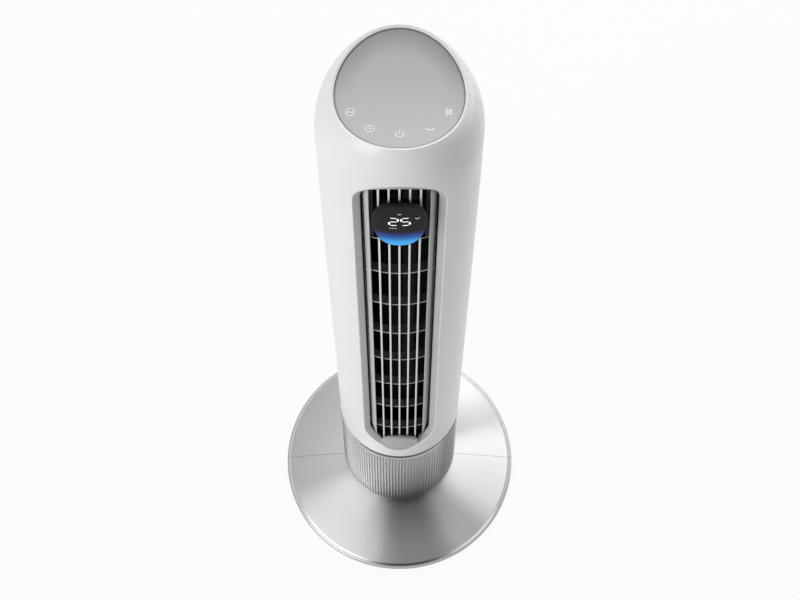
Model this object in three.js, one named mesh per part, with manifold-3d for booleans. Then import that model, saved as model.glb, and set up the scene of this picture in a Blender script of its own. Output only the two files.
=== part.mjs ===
// A slim column fan on a round metal foot: a cross-flow impeller blows through a tall rounded outlet.
// Millimetres, +Z up, the front looks along -Y, and the origin is the middle of the foot's underside.
import * as THREE from 'three';
import { mergeGeometries, mergeVertices } from 'three/addons/utils/BufferGeometryUtils.js';
import Module from 'manifold-3d';

const wasm = await Module();
wasm.setup();

// Fits shared by every pair of neighbours.
const FIT = 0.3;
const SEAM = 0.3;

// Round foot: two metal-skinned halves over a steel plate, on six soft pads.
const BASE_RADIUS = 155;
const RIM_HEIGHT = 8;
const BEAD_RADIUS = 2.6;
const GROOVE_WIDTH = 1.8;
const GROOVE_DEPTH = 1.4;
const CONE_LEDGE = 2;
const CONE_RISE = 20;
const BASE_WALL = 3;
const BASE_BORE_STEP = 16;
const PLATE_THICKNESS = 2;
const PLATE_INSET = 12;
const PLATE_LEDGE = 7;
const FOOT_HEIGHT = 3;
const FOOT_RADIUS = 9;
const FOOT_CIRCLE_INSET = 27;
const FOOT_COUNT = 6;
const BASE_SCREW_INSET = 55;
const BASE_SCREW_COUNT = 4;
const BASE_BOSS_RADIUS = 5;

// Screws, all of one size.
const SCREW_HEAD_RADIUS = 2.7;
const SCREW_HEAD_HEIGHT = 1.7;
const SCREW_SHANK_RADIUS = 1.5;
const SCREW_LENGTH = 9;

// Ribbed collar, with the swivel drive inside it.
const COLLAR_HEIGHT = 198;
const COLLAR_PROUD = 0.1;
const COLLAR_TAPER = 1.8;
const COLLAR_BOWL_DEPTH = 12.3;
const COLLAR_BOWL_HEIGHT = 29;
const COLLAR_WALL = 3.5;
const COLLAR_FLANGE = 3;
const COLLAR_SCREW_INSET = 10;
const COLLAR_SCREW_COUNT = 3;
const COLLAR_BAND = 7;
const RIB_COUNT = 116;
const RIB_DEPTH = 1.1;
const DECK_DEPTH = 29;
const DECK_THICKNESS = 4;
const DECK_LEDGE_WIDTH = 5;
const DECK_LEDGE_HEIGHT = 3;
const DECK_SCREW_COUNT = 3;
const GLAND_HEIGHT = 44;
const GLAND_BORE_RADIUS = 4;
const GLAND_BODY_RADIUS = 6.2;
const GLAND_FLANGE_RADIUS = 8.6;
const GLAND_FLANGE = 2;

// Swivel: a turntable on a glide ring, turned by a pinion on a slow motor.
const HUB_RADIUS = 20;
const HUB_BORE_RADIUS = 12;
const HUB_BELOW_DECK = 5;
const TURNTABLE_THICKNESS = 4;
const GEAR_MODULE = 1.25;
const GEAR_TEETH = 48;
const PINION_TEETH = 16;
const GEAR_WIDTH = 6;
const GEAR_LIFT = 1;
const PRESSURE_ANGLE = 20;
const ADDENDUM = 0.9;
const DEDENDUM = 1.3;
const TOOTH_THINNING = 0.15;
const GLIDE_GAP = 4;
const GLIDE_WIDTH = 6;
const RETAINER_RADIUS = 25;
const SKIRT_GAP = 2;
const SKIRT_WALL = 3;
const SKIRT_FLANGE = 3;
const SKIRT_FLANGE_REACH = 6;
const OSC_MOTOR_RADIUS = 20;
const OSC_MOTOR_HEIGHT = 18;
const OSC_EAR_REACH = 27;
const OSC_EAR_THICKNESS = 2;
const OSC_EAR_RADIUS = 5;
const OSC_SHAFT_RADIUS = 2.5;

// Supply box in the foot, and the leads.
const SUPPLY_WIDTH = 66;
const SUPPLY_DEPTH = 48;
const SUPPLY_HEIGHT = 30;
const LEAD_RADIUS = 2;
const LEAD_SLACK = 6;
const LEAD_INSET_X = 30.4;
const LEAD_INSET_Y = 41.4;

// White shell, tapering upwards, with a rounded head.
const SHADOW_GAP = 8;
const SHELL_HEIGHT = 686.5;
const SHELL_RADIUS = 72.4;
const SHELL_TAPER = 2.9;
const SHELL_TUCK = 1.3;
const SHELL_TUCK_POWER = 6;
const SHELL_WALL = 2.5;
const SHELL_CHAMFER = 1;
const SHOULDER_FRONT = 28;
const SHOULDER_SIDE = 44;
const SHOULDER_REAR = 80;
const SHOULDER_POWER = 2.2;

// Touch panel, tipped forwards and scooped, inside a thin lip.
const PANEL_RADIUS = 51.6;
const PANEL_LIP = 1;
const PANEL_REAR_RISE = 5.6;
const PANEL_SCOOP = 11.2;
const PANEL_SINK = 1;
const PANEL_THICKNESS = 3;
const PANEL_LEDGE = 7.6;
const FILM_THICKNESS = 0.8;

// Tall outlet with round ends, its bezel, grille and ribs.
const OUTLET_HALF_WIDTH = 39;
const OUTLET_SILL = 31;
const OUTLET_HEAD = 28;
const BEZEL_WIDTH = 7.7;
const BEZEL_FRONT_DEPTH = 0.6;
const BEZEL_REAR_DEPTH = 7.5;
const BEZEL_THICKNESS = 2.1;
const GRILLE_HALF_WIDTH = 29.4;
const GRILLE_DEPTH = 5;
const BAR_DEPTH = 4.5;
const BAR_WIDTH = 1.8;
const BAR_PITCH = 8.2;
const BAR_GAPS = 6;
const RIB_PITCH = 69.7;
const LADDER_RIBS = 7;
const FIRST_RIB_ABOVE_SILL = 47;
const TIE_EVERY = 3;
const RIB_THICKNESS = 1.6;
const RIB_BACK_DEPTH = 30.4;
const RAIL_WIDTH = 2.5;
const RAIL_OUTER_HALF = 30.5;

// Display pod in the grille.
const POD_HALF_WIDTH = 22.5;
const POD_HALF_HEIGHT = 36;
const POD_BELOW_OUTLET_TOP = 56.5;
const POD_POWER = 2.7;
const POD_PROUD = 1.2;
const POD_EDGE = 1.9;
const POD_WAIST_DEPTH = 6;
const POD_WAIST_HALF_WIDTH = 20.2;
const POD_WAIST_HALF_HEIGHT = 27.7;
const POD_WAIST_POWER = 2;
const POD_WALL = 1.4;
const LENS_THICKNESS = 1.5;
const POD_BOARD_INSET = 8;
const BOARD_THICKNESS = 1.6;
const CARRIER_THICKNESS = 3;

// Scent capsule that pulls out at the foot of the outlet.
const SCENT_ABOVE_SILL = 15;
const SOCKET_RADIUS = 24.5;
const SOCKET_WALL = 2.6;
const SOCKET_BACK = 2;
const SOCKET_DEPTH = 20.4;
const SOCKET_PROUD = 0.6;
const CAPSULE_CLEARANCE = 0.35;
const CAPSULE_WALL = 3;
const CAPSULE_FACE = 4;
const PAD_LENGTH = 7;

// Air duct, impeller and motor.
const FLOOR_THICKNESS = 3;
const MOTOR_RADIUS = 30;
const MOTOR_HEIGHT = 36;
const MOTOR_BOSS_RADIUS = 8;
const MOTOR_BOSS_HEIGHT = 6;
const DUCT_FLOOR_ABOVE_SILL = 32;
const DUCT_TOP_BELOW_OUTLET_TOP = 8.5;
const DUCT_PLATE = 3;
const IMPELLER_Y = 8;
const IMPELLER_INSET = 34.4;
const IMPELLER_END_GAP = 4;
const BLADE_COUNT = 16;
const BLADE_DEPTH = 9;
const BLADE_THICKNESS = 1.2;
const BLADE_SWEEP = 24;
const DISC_THICKNESS = 2;
const DISC_COUNT = 3;
const DRIVE_SHAFT_RADIUS = 4;
const TOP_SHAFT_RADIUS = 3;
const DUCT_WALL = 2.2;
const DUCT_MOUTH_HALF = 32;
const DUCT_MOUTH_DEPTH = 28.4;
const SCROLL_END_ANGLE = 150;
const SCROLL_CLEARANCE = 3;
const TONGUE_END_ANGLE = 75;
const TONGUE_CLEARANCE = 4.5;
const BUSH_RADIUS = 8;
const BUSH_FLANGE_RADIUS = 12;
const BUSH_FLANGE = 1.6;
const POST_HEIGHT = 4;
const POST_RADIUS = 3;
const BOARD_HALF_WIDTH = 46;
const BOARD_HALF_DEPTH = 34;

// Rear inlet grille.
const INLET_HALF_WIDTH = 53;
const INLET_SILL = 51;
const INLET_HEAD = 62;
const INLET_CORNER_RADIUS = 14;
const INLET_COLUMNS = 10;
const INLET_ROWS = 4;
const SLOT_WIDTH = 5.6;
const SLOT_BRIDGE = 8;
const INLET_FRAME = 9;
const INLET_EDGE = 6.9;

// Screw bosses that join the two shells.
const BOSS_RADIUS = 4;
const BOSS_LOW = 27;
const BOSS_HIGH = 46.5;
const BOSS_INSET_LOW = 14.4;
const BOSS_INSET_HIGH = 18.4;
const BOSS_COUNTERBORE_Y = 12;

// Facets round a full turn.
const FINE = 40;
const MEDIUM = 24;
const COARSE = 20;
const SMALL = 12;
const TINY = 6;

// Levels, from the table upwards.
const collarTopRadius = SHELL_RADIUS + COLLAR_PROUD;
const collarWaistRadius = collarTopRadius + COLLAR_TAPER;
const collarFootRadius = collarWaistRadius - COLLAR_BOWL_DEPTH;
const collarBoreRadius = collarTopRadius - COLLAR_WALL;
const coneTopRadius = collarFootRadius + CONE_LEDGE;
const baseBoreRadius = collarFootRadius - BASE_BORE_STEP;
const plateRadius = BASE_RADIUS - PLATE_INSET;
const skirtRadius = collarBoreRadius - SKIRT_GAP;
const ductMouthY = SHELL_RADIUS - DUCT_MOUTH_DEPTH;
const socketRearY = SHELL_RADIUS - SOCKET_DEPTH;
const impellerRadius = SHELL_RADIUS - IMPELLER_INSET;
const leadX = SHELL_RADIUS - LEAD_INSET_X;
const leadY = SHELL_RADIUS - LEAD_INSET_Y;
const rimTop = FOOT_HEIGHT + RIM_HEIGHT;
const plateTop = FOOT_HEIGHT + PLATE_THICKNESS;
const coneTop = rimTop + CONE_RISE;
const collarTop = coneTop + COLLAR_HEIGHT;
const deckFloor = collarTop - DECK_DEPTH;
const deckTop = deckFloor + DECK_THICKNESS;
const hubFoot = deckFloor - HUB_BELOW_DECK;
const gearFoot = deckTop + GEAR_LIFT;
const turntableFloor = gearFoot + GEAR_WIDTH;
const turntableTop = turntableFloor + TURNTABLE_THICKNESS;
const shellFoot = collarTop + SHADOW_GAP;
const flangeFoot = shellFoot + SKIRT_FLANGE;
const flangeTop = flangeFoot + SKIRT_FLANGE;
const floorTop = flangeTop + FLOOR_THICKNESS;
const motorTop = floorTop + MOTOR_HEIGHT;
const panelZ = shellFoot + SHELL_HEIGHT;
const outletFoot = shellFoot + OUTLET_SILL;
const outletTop = panelZ - OUTLET_HEAD;
const outletArcZ = outletFoot + OUTLET_HALF_WIDTH;
const headArcZ = outletTop - OUTLET_HALF_WIDTH;
const scentZ = outletFoot + SCENT_ABOVE_SILL;
const ductFloorFoot = outletFoot + DUCT_FLOOR_ABOVE_SILL;
const ductFloorTop = ductFloorFoot + DUCT_PLATE;
const ductTopFoot = outletTop - DUCT_TOP_BELOW_OUTLET_TOP - DUCT_PLATE;
const ductTopTop = ductTopFoot + DUCT_PLATE;
const impellerFoot = ductFloorTop + IMPELLER_END_GAP;
const impellerTop = ductTopFoot - IMPELLER_END_GAP;
const podZ = outletTop - POD_BELOW_OUTLET_TOP;
const bossLowZ = shellFoot + BOSS_LOW;
const bossHighZ = panelZ - BOSS_HIGH;
const supplyTop = plateTop + SUPPLY_HEIGHT;
const gearRadius = GEAR_MODULE * GEAR_TEETH / 2;
const pinionRadius = GEAR_MODULE * PINION_TEETH / 2;
const pinionY = gearRadius + pinionRadius;
const glideRadius = pinionY + pinionRadius + GLIDE_GAP;
const HALF_TURN = 180;
const QUARTER_TURN = 90;
const PAST = 2;

const radians = (degrees) => degrees * Math.PI / HALF_TURN;

// ---------- solids from three.js geometry ----------

function toSolid(geometry) {
  const bare = geometry.index ? geometry.toNonIndexed() : geometry.clone();
  bare.deleteAttribute('normal');
  bare.deleteAttribute('uv');
  const merged = mergeVertices(bare, 1e-4);
  const position = merged.attributes.position;
  const index = merged.index.array;
  const kept = [];
  let volume = 0;
  const a = new THREE.Vector3();
  const b = new THREE.Vector3();
  const c = new THREE.Vector3();
  for (let i = 0; i < index.length; i += 3) {
    const [p, q, r] = [index[i], index[i + 1], index[i + 2]];
    if (p === q || q === r || r === p) continue;
    kept.push(p, q, r);
    a.fromBufferAttribute(position, p);
    b.fromBufferAttribute(position, q);
    c.fromBufferAttribute(position, r);
    volume += a.dot(b.cross(c));
  }
  if (volume < 0) kept.reverse();
  return new wasm.Manifold(new wasm.Mesh({
    numProp: 3,
    vertProperties: new Float32Array(position.array),
    triVerts: new Uint32Array(kept),
  }));
}

function toGeometry(solid) {
  const mesh = solid.getMesh();
  const geometry = new THREE.BufferGeometry();
  geometry.setAttribute('position', new THREE.BufferAttribute(mesh.vertProperties, 3));
  geometry.setIndex(new THREE.BufferAttribute(mesh.triVerts, 1));
  return geometry;
}

const join = (...solids) => solids.reduce((all, one) => all.add(one));
const cut = (solid, ...tools) => tools.reduce((left, tool) => left.subtract(tool), solid);

// A profile of [radius, height] points turned about the Z axis.
function turned(points, segments = MEDIUM) {
  const profile = points.map(([r, z]) => new THREE.Vector2(r, z));
  return toSolid(new THREE.LatheGeometry(profile, segments).rotateX(Math.PI / 2));
}

const closedRing = (points) => [...points, points[0]];
const ring = (points, segments) => turned(closedRing(points), segments);

function drum(radius, low, high, segments = MEDIUM) {
  return turned([[0, low], [radius, low], [radius, high], [0, high]], segments);
}

function shift(solid, x, y, z = 0) {
  return solid.translate([x, y, z]);
}

// An outline in plan, from one level to another.
function slab(shape, low, high, curveSegments = 3) {
  const settings = { depth: high - low, bevelEnabled: false, curveSegments };
  const geometry = new THREE.ExtrudeGeometry(shape, settings);
  return toSolid(geometry.translate(0, 0, low));
}

// An outline in the front view, from one depth to another.
function standing(shape, front, back, curveSegments = 4) {
  const settings = { depth: back - front, bevelEnabled: false, curveSegments };
  const geometry = new THREE.ExtrudeGeometry(shape, settings);
  return toSolid(geometry.rotateX(Math.PI / 2).translate(0, back, 0));
}

// A drum lying along Y.
function pegAlongY(radius, x, z, front, back, segments = TINY) {
  const geometry = new THREE.CylinderGeometry(radius, radius, back - front, segments);
  return toSolid(geometry.translate(x, (front + back) / 2, z));
}

function boxGeometry(lowX, highX, lowY, highY, lowZ, highZ) {
  const geometry = new THREE.BoxGeometry(highX - lowX, highY - lowY, highZ - lowZ);
  return geometry.translate((lowX + highX) / 2, (lowY + highY) / 2, (lowZ + highZ) / 2);
}

const block = (...bounds) => toSolid(boxGeometry(...bounds));

// Blocks that stand clear of each other, as one cutting tool.
const blocks = (list) => toSolid(mergeGeometries(list.map((bounds) => boxGeometry(...bounds))));

function roundedRectangle(halfWidth, halfHeight, radius, x = 0, y = 0) {
  const shape = new THREE.Shape();
  const corners = [[1, -1, -QUARTER_TURN], [1, 1, 0], [-1, 1, QUARTER_TURN], [-1, -1, HALF_TURN]];
  for (const [sx, sy, start] of corners) {
    const cx = x + sx * (halfWidth - radius);
    const cy = y + sy * (halfHeight - radius);
    shape.absarc(cx, cy, radius, radians(start), radians(start + QUARTER_TURN), false);
  }
  return shape;
}

// Rings of points joined into a skin; the two end rings are closed by a fan about their middle.
function lofted(rings, closeOnItself = false) {
  const positions = [];
  const band = (lower, upper) => {
    for (let i = 0; i < lower.length; i += 1) {
      const j = (i + 1) % lower.length;
      positions.push(...lower[i], ...lower[j], ...upper[j]);
      positions.push(...lower[i], ...upper[j], ...upper[i]);
    }
  };
  const cap = (points, inward) => {
    const sum = points.reduce((s, p) => [s[0] + p[0], s[1] + p[1], s[2] + p[2]]);
    const middle = sum.map((v) => v / points.length);
    for (let i = 0; i < points.length; i += 1) {
      const j = (i + 1) % points.length;
      positions.push(...middle, ...(inward ? points[j] : points[i]), ...(inward ? points[i] : points[j]));
    }
  };
  for (let k = 0; k + 1 < rings.length; k += 1) band(rings[k], rings[k + 1]);
  if (closeOnItself) {
    band(rings[rings.length - 1], rings[0]);
  } else {
    cap(rings[0], true);
    cap(rings[rings.length - 1], false);
  }
  const geometry = new THREE.BufferGeometry();
  geometry.setAttribute('position', new THREE.Float32BufferAttribute(positions, 3));
  return toSolid(geometry);
}

const frontOf = (solid) => solid.intersect(block(-BASE_RADIUS - PAST, BASE_RADIUS + PAST,
  -BASE_RADIUS - PAST, -SEAM / 2, -PAST, panelZ + SHOULDER_REAR));
const rearOf = (solid) => solid.intersect(block(-BASE_RADIUS - PAST, BASE_RADIUS + PAST,
  SEAM / 2, BASE_RADIUS + PAST, -PAST, panelZ + SHOULDER_REAR));

// The places of a circle of fasteners or pads, the first one half a step from the +X axis.
function circlePlaces(count, radius) {
  const places = [];
  for (let k = 0; k < count; k += 1) {
    const angle = radians((k + 0.5) * 2 * HALF_TURN / count);
    places.push([radius * Math.cos(angle), radius * Math.sin(angle)]);
  }
  return places;
}

// A pan-head screw standing on its head, the shank pointing up from the given level.
function screwUp(level) {
  return turned([
    [0, level - SCREW_HEAD_HEIGHT], [SCREW_HEAD_RADIUS, level - SCREW_HEAD_HEIGHT],
    [SCREW_HEAD_RADIUS, level], [SCREW_SHANK_RADIUS, level],
    [SCREW_SHANK_RADIUS, level + SCREW_LENGTH], [0, level + SCREW_LENGTH],
  ], TINY);
}

const screwHole = (low, high) => drum(SCREW_SHANK_RADIUS + FIT, low, high, TINY);

// ---------- the round foot ----------

const coneFootRadius = BASE_RADIUS - 2 * BEAD_RADIUS - GROOVE_WIDTH + FIT;
const coneSlope = CONE_RISE / (coneFootRadius - coneTopRadius);
const coneHeight = (radius) => coneTop - (radius - coneTopRadius) * coneSlope;
const baseScrewCircle = BASE_RADIUS - BASE_SCREW_INSET;
const baseScrewPlaces = circlePlaces(BASE_SCREW_COUNT, baseScrewCircle);
const collarScrewPlaces = circlePlaces(COLLAR_SCREW_COUNT, collarFootRadius - COLLAR_SCREW_INSET);

function footRing() {
  const beadRadius = BASE_RADIUS - BEAD_RADIUS;
  const beadHeight = rimTop - BEAD_RADIUS;
  const bead = [];
  for (let angle = 140; angle >= 0; angle -= 70) {
    bead.push([beadRadius + BEAD_RADIUS * Math.cos(radians(angle)),
      beadHeight + BEAD_RADIUS * Math.sin(radians(angle))]);
  }
  const ledgeRadius = plateRadius - PLATE_LEDGE;
  return ring([
    [baseBoreRadius, coneTop], [coneTopRadius, coneTop], [coneFootRadius, rimTop],
    [coneFootRadius + GROOVE_WIDTH / 2, rimTop - GROOVE_DEPTH], ...bead,
    [BASE_RADIUS, FOOT_HEIGHT + PLATE_THICKNESS], [BASE_RADIUS - PLATE_THICKNESS, FOOT_HEIGHT],
    [plateRadius + FIT, FOOT_HEIGHT], [plateRadius + FIT, plateTop], [ledgeRadius, plateTop],
    [ledgeRadius, coneHeight(ledgeRadius) - BASE_WALL], [coneTopRadius, coneTop - BASE_WALL],
    [baseBoreRadius, coneTop - BASE_WALL],
  ], FINE);
}

function wholeFoot() {
  let foot = footRing();
  const bossTop = coneHeight(baseScrewCircle) - BASE_WALL / 2;
  for (const [x, y] of baseScrewPlaces) {
    foot = foot.add(shift(drum(BASE_BOSS_RADIUS, plateTop, bossTop, TINY), x, y));
    foot = foot.subtract(shift(screwHole(plateTop - PAST, FOOT_HEIGHT + SCREW_LENGTH + FIT), x, y));
  }
  for (const [x, y] of collarScrewPlaces) {
    foot = foot.subtract(shift(screwHole(coneTop - BASE_WALL - PAST, coneTop + PAST), x, y));
  }
  return foot;
}

function basePlate() {
  let plate = drum(plateRadius, FOOT_HEIGHT, plateTop, FINE);
  for (const [x, y] of baseScrewPlaces) {
    plate = plate.subtract(shift(screwHole(FOOT_HEIGHT - PAST, plateTop + PAST), x, y));
  }
  return plate;
}

function footPad([x, y]) {
  const top = [FOOT_RADIUS, FOOT_HEIGHT];
  return shift(turned([[0, 0], [FOOT_RADIUS - 1, 0], top, [0, FOOT_HEIGHT]], SMALL), x, y);
}

function supplyBox() {
  return slab(roundedRectangle(SUPPLY_WIDTH / 2, SUPPLY_DEPTH / 2, 3), plateTop, supplyTop);
}

// ---------- the ribbed collar and the swivel drive ----------

const waistZ = coneTop + COLLAR_BOWL_HEIGHT;

// Outer radius of the collar: a bowl at the foot, then a slight taper to the top.
function collarRadius(z) {
  if (z < waistZ) {
    const left = 1 - (z - coneTop) / COLLAR_BOWL_HEIGHT;
    return collarFootRadius + (collarWaistRadius - collarFootRadius) * Math.sqrt(1 - left * left);
  }
  const rise = (z - waistZ) / (collarTop - waistZ);
  return collarWaistRadius + (collarTopRadius - collarWaistRadius) * rise;
}

function ribbedRing(z) {
  const points = [];
  for (let i = 0; i < 2 * RIB_COUNT; i += 1) {
    const angle = Math.PI * i / RIB_COUNT;
    const radius = collarRadius(z) - (i % 2) * RIB_DEPTH;
    points.push([radius * Math.cos(angle), radius * Math.sin(angle), z]);
  }
  return points;
}

const bowlLevels = [0, 0.08, 0.35, 1].map((share) => coneTop + share * COLLAR_BOWL_HEIGHT);

function collarBore() {
  const skin = RIB_DEPTH + SHELL_WALL;
  const bowlMiddle = coneTop + COLLAR_BOWL_HEIGHT / 3;
  const ledgeFoot = deckFloor - DECK_LEDGE_HEIGHT;
  return turned([
    [0, coneTop - PAST], [baseBoreRadius, coneTop - PAST], [baseBoreRadius, coneTop + COLLAR_FLANGE],
    [collarFootRadius - skin, coneTop + COLLAR_FLANGE],
    [collarRadius(bowlMiddle) - skin, bowlMiddle + COLLAR_FLANGE],
    [collarBoreRadius, waistZ + COLLAR_FLANGE], [collarBoreRadius, ledgeFoot - DECK_LEDGE_WIDTH],
    [collarBoreRadius - DECK_LEDGE_WIDTH, ledgeFoot], [collarBoreRadius - DECK_LEDGE_WIDTH, deckFloor],
    [collarBoreRadius, deckFloor], [collarBoreRadius, collarTop + PAST], [0, collarTop + PAST],
  ], MEDIUM);
}

const glandZ = coneTop + GLAND_HEIGHT;
const deckScrewPlaces = circlePlaces(DECK_SCREW_COUNT, collarBoreRadius - DECK_LEDGE_WIDTH / 2);

function ribbedCollar() {
  const bandFoot = collarTop - COLLAR_BAND;
  const ribbed = lofted([waistZ, bandFoot].map(ribbedRing));
  const bowlSkin = bowlLevels.map((z) => [collarRadius(z) - RIB_DEPTH, z]);
  const bowlEnd = [[bowlSkin[0][0], waistZ + PAST], [0, waistZ + PAST]];
  const bowl = turned([[0, coneTop], ...bowlSkin, ...bowlEnd], FINE);
  const radius = collarTopRadius - RIB_DEPTH - FIT;
  const band = turned([
    [0, bandFoot - PAST], [radius - PAST, bandFoot - PAST], [radius, bandFoot],
    [collarTopRadius, bandFoot + SHELL_CHAMFER], [collarTopRadius, collarTop - SHELL_CHAMFER],
    [collarTopRadius - SHELL_CHAMFER, collarTop], [0, collarTop],
  ], FINE);
  let collar = cut(join(ribbed, band, bowl), collarBore());
  collar = collar.subtract(pegAlongY(GLAND_BODY_RADIUS + FIT, 0, glandZ, 0, BASE_RADIUS, SMALL));
  for (const [x, y] of collarScrewPlaces) {
    collar = collar.subtract(shift(screwHole(coneTop - PAST, coneTop + COLLAR_FLANGE + PAST), x, y));
  }
  for (const [x, y] of deckScrewPlaces) {
    collar = collar.subtract(shift(screwHole(deckTop - SCREW_LENGTH - FIT, deckTop), x, y));
  }
  return collar;
}

function cordGland() {
  const outer = collarRadius(glandZ) + FIT;
  const inner = collarBoreRadius - GLAND_FLANGE_RADIUS * Math.tan(Math.PI / MEDIUM) - FIT;
  const gland = ring([
    [GLAND_BORE_RADIUS, inner - GLAND_FLANGE], [GLAND_FLANGE_RADIUS, inner - GLAND_FLANGE],
    [GLAND_FLANGE_RADIUS, inner], [GLAND_BODY_RADIUS, inner], [GLAND_BODY_RADIUS, outer],
    [GLAND_FLANGE_RADIUS, outer], [GLAND_FLANGE_RADIUS - 1, outer + GLAND_FLANGE],
    [GLAND_BORE_RADIUS, outer + GLAND_FLANGE],
  ], SMALL);
  return gland.rotate([-QUARTER_TURN, 0, 0]).translate([0, 0, glandZ]);
}

function swivelDeck() {
  const radius = collarBoreRadius - FIT;
  const earTop = hubFoot;
  let deck = drum(radius, deckFloor, deckTop);
  for (const side of [-1, 1]) {
    const post = drum(OSC_EAR_RADIUS - 1, earTop, deckTop, SMALL);
    deck = deck.add(shift(post, side * OSC_EAR_REACH, pinionY));
  }
  for (const [x, y] of deckScrewPlaces) {
    deck = deck.subtract(shift(screwHole(deckFloor - PAST, deckTop + PAST), x, y));
  }
  const hubHole = drum(HUB_RADIUS + FIT, hubFoot - PAST, deckTop + PAST);
  const shaftHole = shift(drum(OSC_SHAFT_RADIUS + 1, hubFoot, deckTop + PAST, SMALL), 0, pinionY);
  return cut(deck, hubHole, shaftHole);
}

function oscillationMotor() {
  const earTop = hubFoot;
  const earFoot = earTop - OSC_EAR_THICKNESS;
  const can = turned([
    [0, earFoot - OSC_MOTOR_HEIGHT], [OSC_MOTOR_RADIUS - 1, earFoot - OSC_MOTOR_HEIGHT],
    [OSC_MOTOR_RADIUS, earFoot - OSC_MOTOR_HEIGHT + 1], [OSC_MOTOR_RADIUS, earFoot], [0, earFoot],
  ], COARSE);
  const boss = drum(OSC_SHAFT_RADIUS + 2, earFoot, earTop + 1, SMALL);
  const ears = slab(roundedRectangle(OSC_EAR_REACH + OSC_EAR_RADIUS, OSC_EAR_RADIUS, OSC_EAR_RADIUS - 1),
    earFoot - FIT, earTop);
  return shift(join(can, ears, boss), 0, pinionY);
}

// Involute spur gear outline. The flank is sampled at shares of the tooth's depth.
function gearOutline(teeth, thinning, turn, samples) {
  const pitch = GEAR_MODULE * teeth / 2;
  const baseCircle = pitch * Math.cos(radians(PRESSURE_ANGLE));
  const involute = (radius) => {
    const pressure = Math.acos(Math.min(1, baseCircle / radius));
    return Math.tan(pressure) - pressure;
  };
  const halfTooth = (Math.PI * GEAR_MODULE / 2 - thinning) / (2 * pitch) + involute(pitch);
  const depth = (ADDENDUM + DEDENDUM) * GEAR_MODULE;
  const radii = samples.map((share) => pitch - DEDENDUM * GEAR_MODULE + share * depth);
  const shape = new THREE.Shape();
  for (let tooth = 0; tooth < teeth; tooth += 1) {
    const middle = 2 * Math.PI * tooth / teeth + turn;
    const flank = radii.map((radius) => [radius, halfTooth - involute(radius)]);
    const around = [...flank.map(([r, a]) => [r, -a]), ...flank.reverse()];
    for (const [r, a] of around) {
      const point = [r * Math.cos(middle + a), r * Math.sin(middle + a)];
      if (shape.curves.length === 0 && shape.currentPoint.length() === 0) shape.moveTo(...point);
      else shape.lineTo(...point);
    }
  }
  shape.closePath();
  return shape;
}

function gearRing() {
  const shape = gearOutline(GEAR_TEETH, TOOTH_THINNING, 0, [0, 1]);
  const hole = new THREE.Path();
  hole.absarc(0, 0, HUB_RADIUS + FIT, 0, 2 * Math.PI, true);
  shape.holes.push(hole);
  return slab(shape, gearFoot, turntableFloor, MEDIUM / 2);
}

function pinion() {
  const stemFoot = hubFoot + 1 + FIT;
  const stem = drum(OSC_SHAFT_RADIUS, stemFoot, gearFoot + 1, SMALL);
  const shape = gearOutline(PINION_TEETH, TOOTH_THINNING, Math.PI / PINION_TEETH, [0, 0.5, 1]);
  return shift(join(slab(shape, gearFoot, turntableFloor - FIT), stem), 0, pinionY);
}

function turntable() {
  const flangeRadius = shellInside(flangeTop) - FIT;
  return ring([
    [HUB_BORE_RADIUS, hubFoot], [HUB_RADIUS, hubFoot], [HUB_RADIUS, turntableFloor],
    [skirtRadius, turntableFloor], [skirtRadius, flangeFoot], [flangeRadius, flangeFoot],
    [flangeRadius, flangeTop], [skirtRadius - SKIRT_FLANGE_REACH, flangeTop],
    [skirtRadius - SKIRT_FLANGE_REACH, flangeFoot], [skirtRadius - SKIRT_WALL, flangeFoot],
    [skirtRadius - SKIRT_WALL, turntableTop], [HUB_BORE_RADIUS, turntableTop],
  ], MEDIUM);
}

const glideRing = () => ring([
  [glideRadius, deckTop], [glideRadius + GLIDE_WIDTH, deckTop],
  [glideRadius + GLIDE_WIDTH, turntableFloor - FIT], [glideRadius, turntableFloor - FIT],
], COARSE);

const retainingRing = () => ring([
  [HUB_RADIUS + FIT, hubFoot + FIT], [RETAINER_RADIUS, hubFoot + FIT],
  [RETAINER_RADIUS, deckFloor - FIT], [HUB_RADIUS + FIT, deckFloor - FIT],
], MEDIUM);

// A round lead along a smooth route.
function lead(points, steps) {
  const path = new THREE.CatmullRomCurve3(points.map((p) => new THREE.Vector3(...p)));
  const section = new THREE.Shape();
  section.absarc(0, 0, LEAD_RADIUS, 0, 2 * Math.PI, false);
  return toSolid(new THREE.ExtrudeGeometry(section, { steps, curveSegments: 3, extrudePath: path }));
}

const leadMeetZ = deckTop;
const baseLead = () => lead([[0, 0, supplyTop + FIT], [0, 0, leadMeetZ / 2], [0, 0, leadMeetZ]], 2);

function towerLead() {
  const boardZ = ductTopTop + POST_HEIGHT;
  const middle = (turntableTop + flangeFoot) / 2;
  return lead([
    [0, 0, leadMeetZ + FIT], [0, 0, turntableTop], [leadX / 2, leadY / 2, middle],
    [leadX, leadY, flangeFoot], [leadX, leadY, floorTop], [leadX, leadY, motorTop],
    [leadX, leadY, (motorTop + ductTopFoot) / 2], [leadX, leadY, ductTopFoot],
    [leadX, leadY, boardZ - FIT],
  ], 24);
}

// ---------- the white shell ----------

// Outer radius of the shell: a straight taper that tucks in near the head.
function shellRadius(z) {
  const rise = (z - shellFoot) / SHELL_HEIGHT;
  return SHELL_RADIUS - SHELL_TAPER * rise - SHELL_TUCK * Math.max(0, rise) ** SHELL_TUCK_POWER;
}

const shellInside = (z) => shellRadius(z) - SHELL_WALL;

// Height of the panel's edge plane: it rises to the rear and curls up at the front and the rear.
function panelHeight(y) {
  const along = y / PANEL_RADIUS;
  return panelZ + PANEL_REAR_RISE * along + PANEL_SCOOP * along * along;
}

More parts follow.
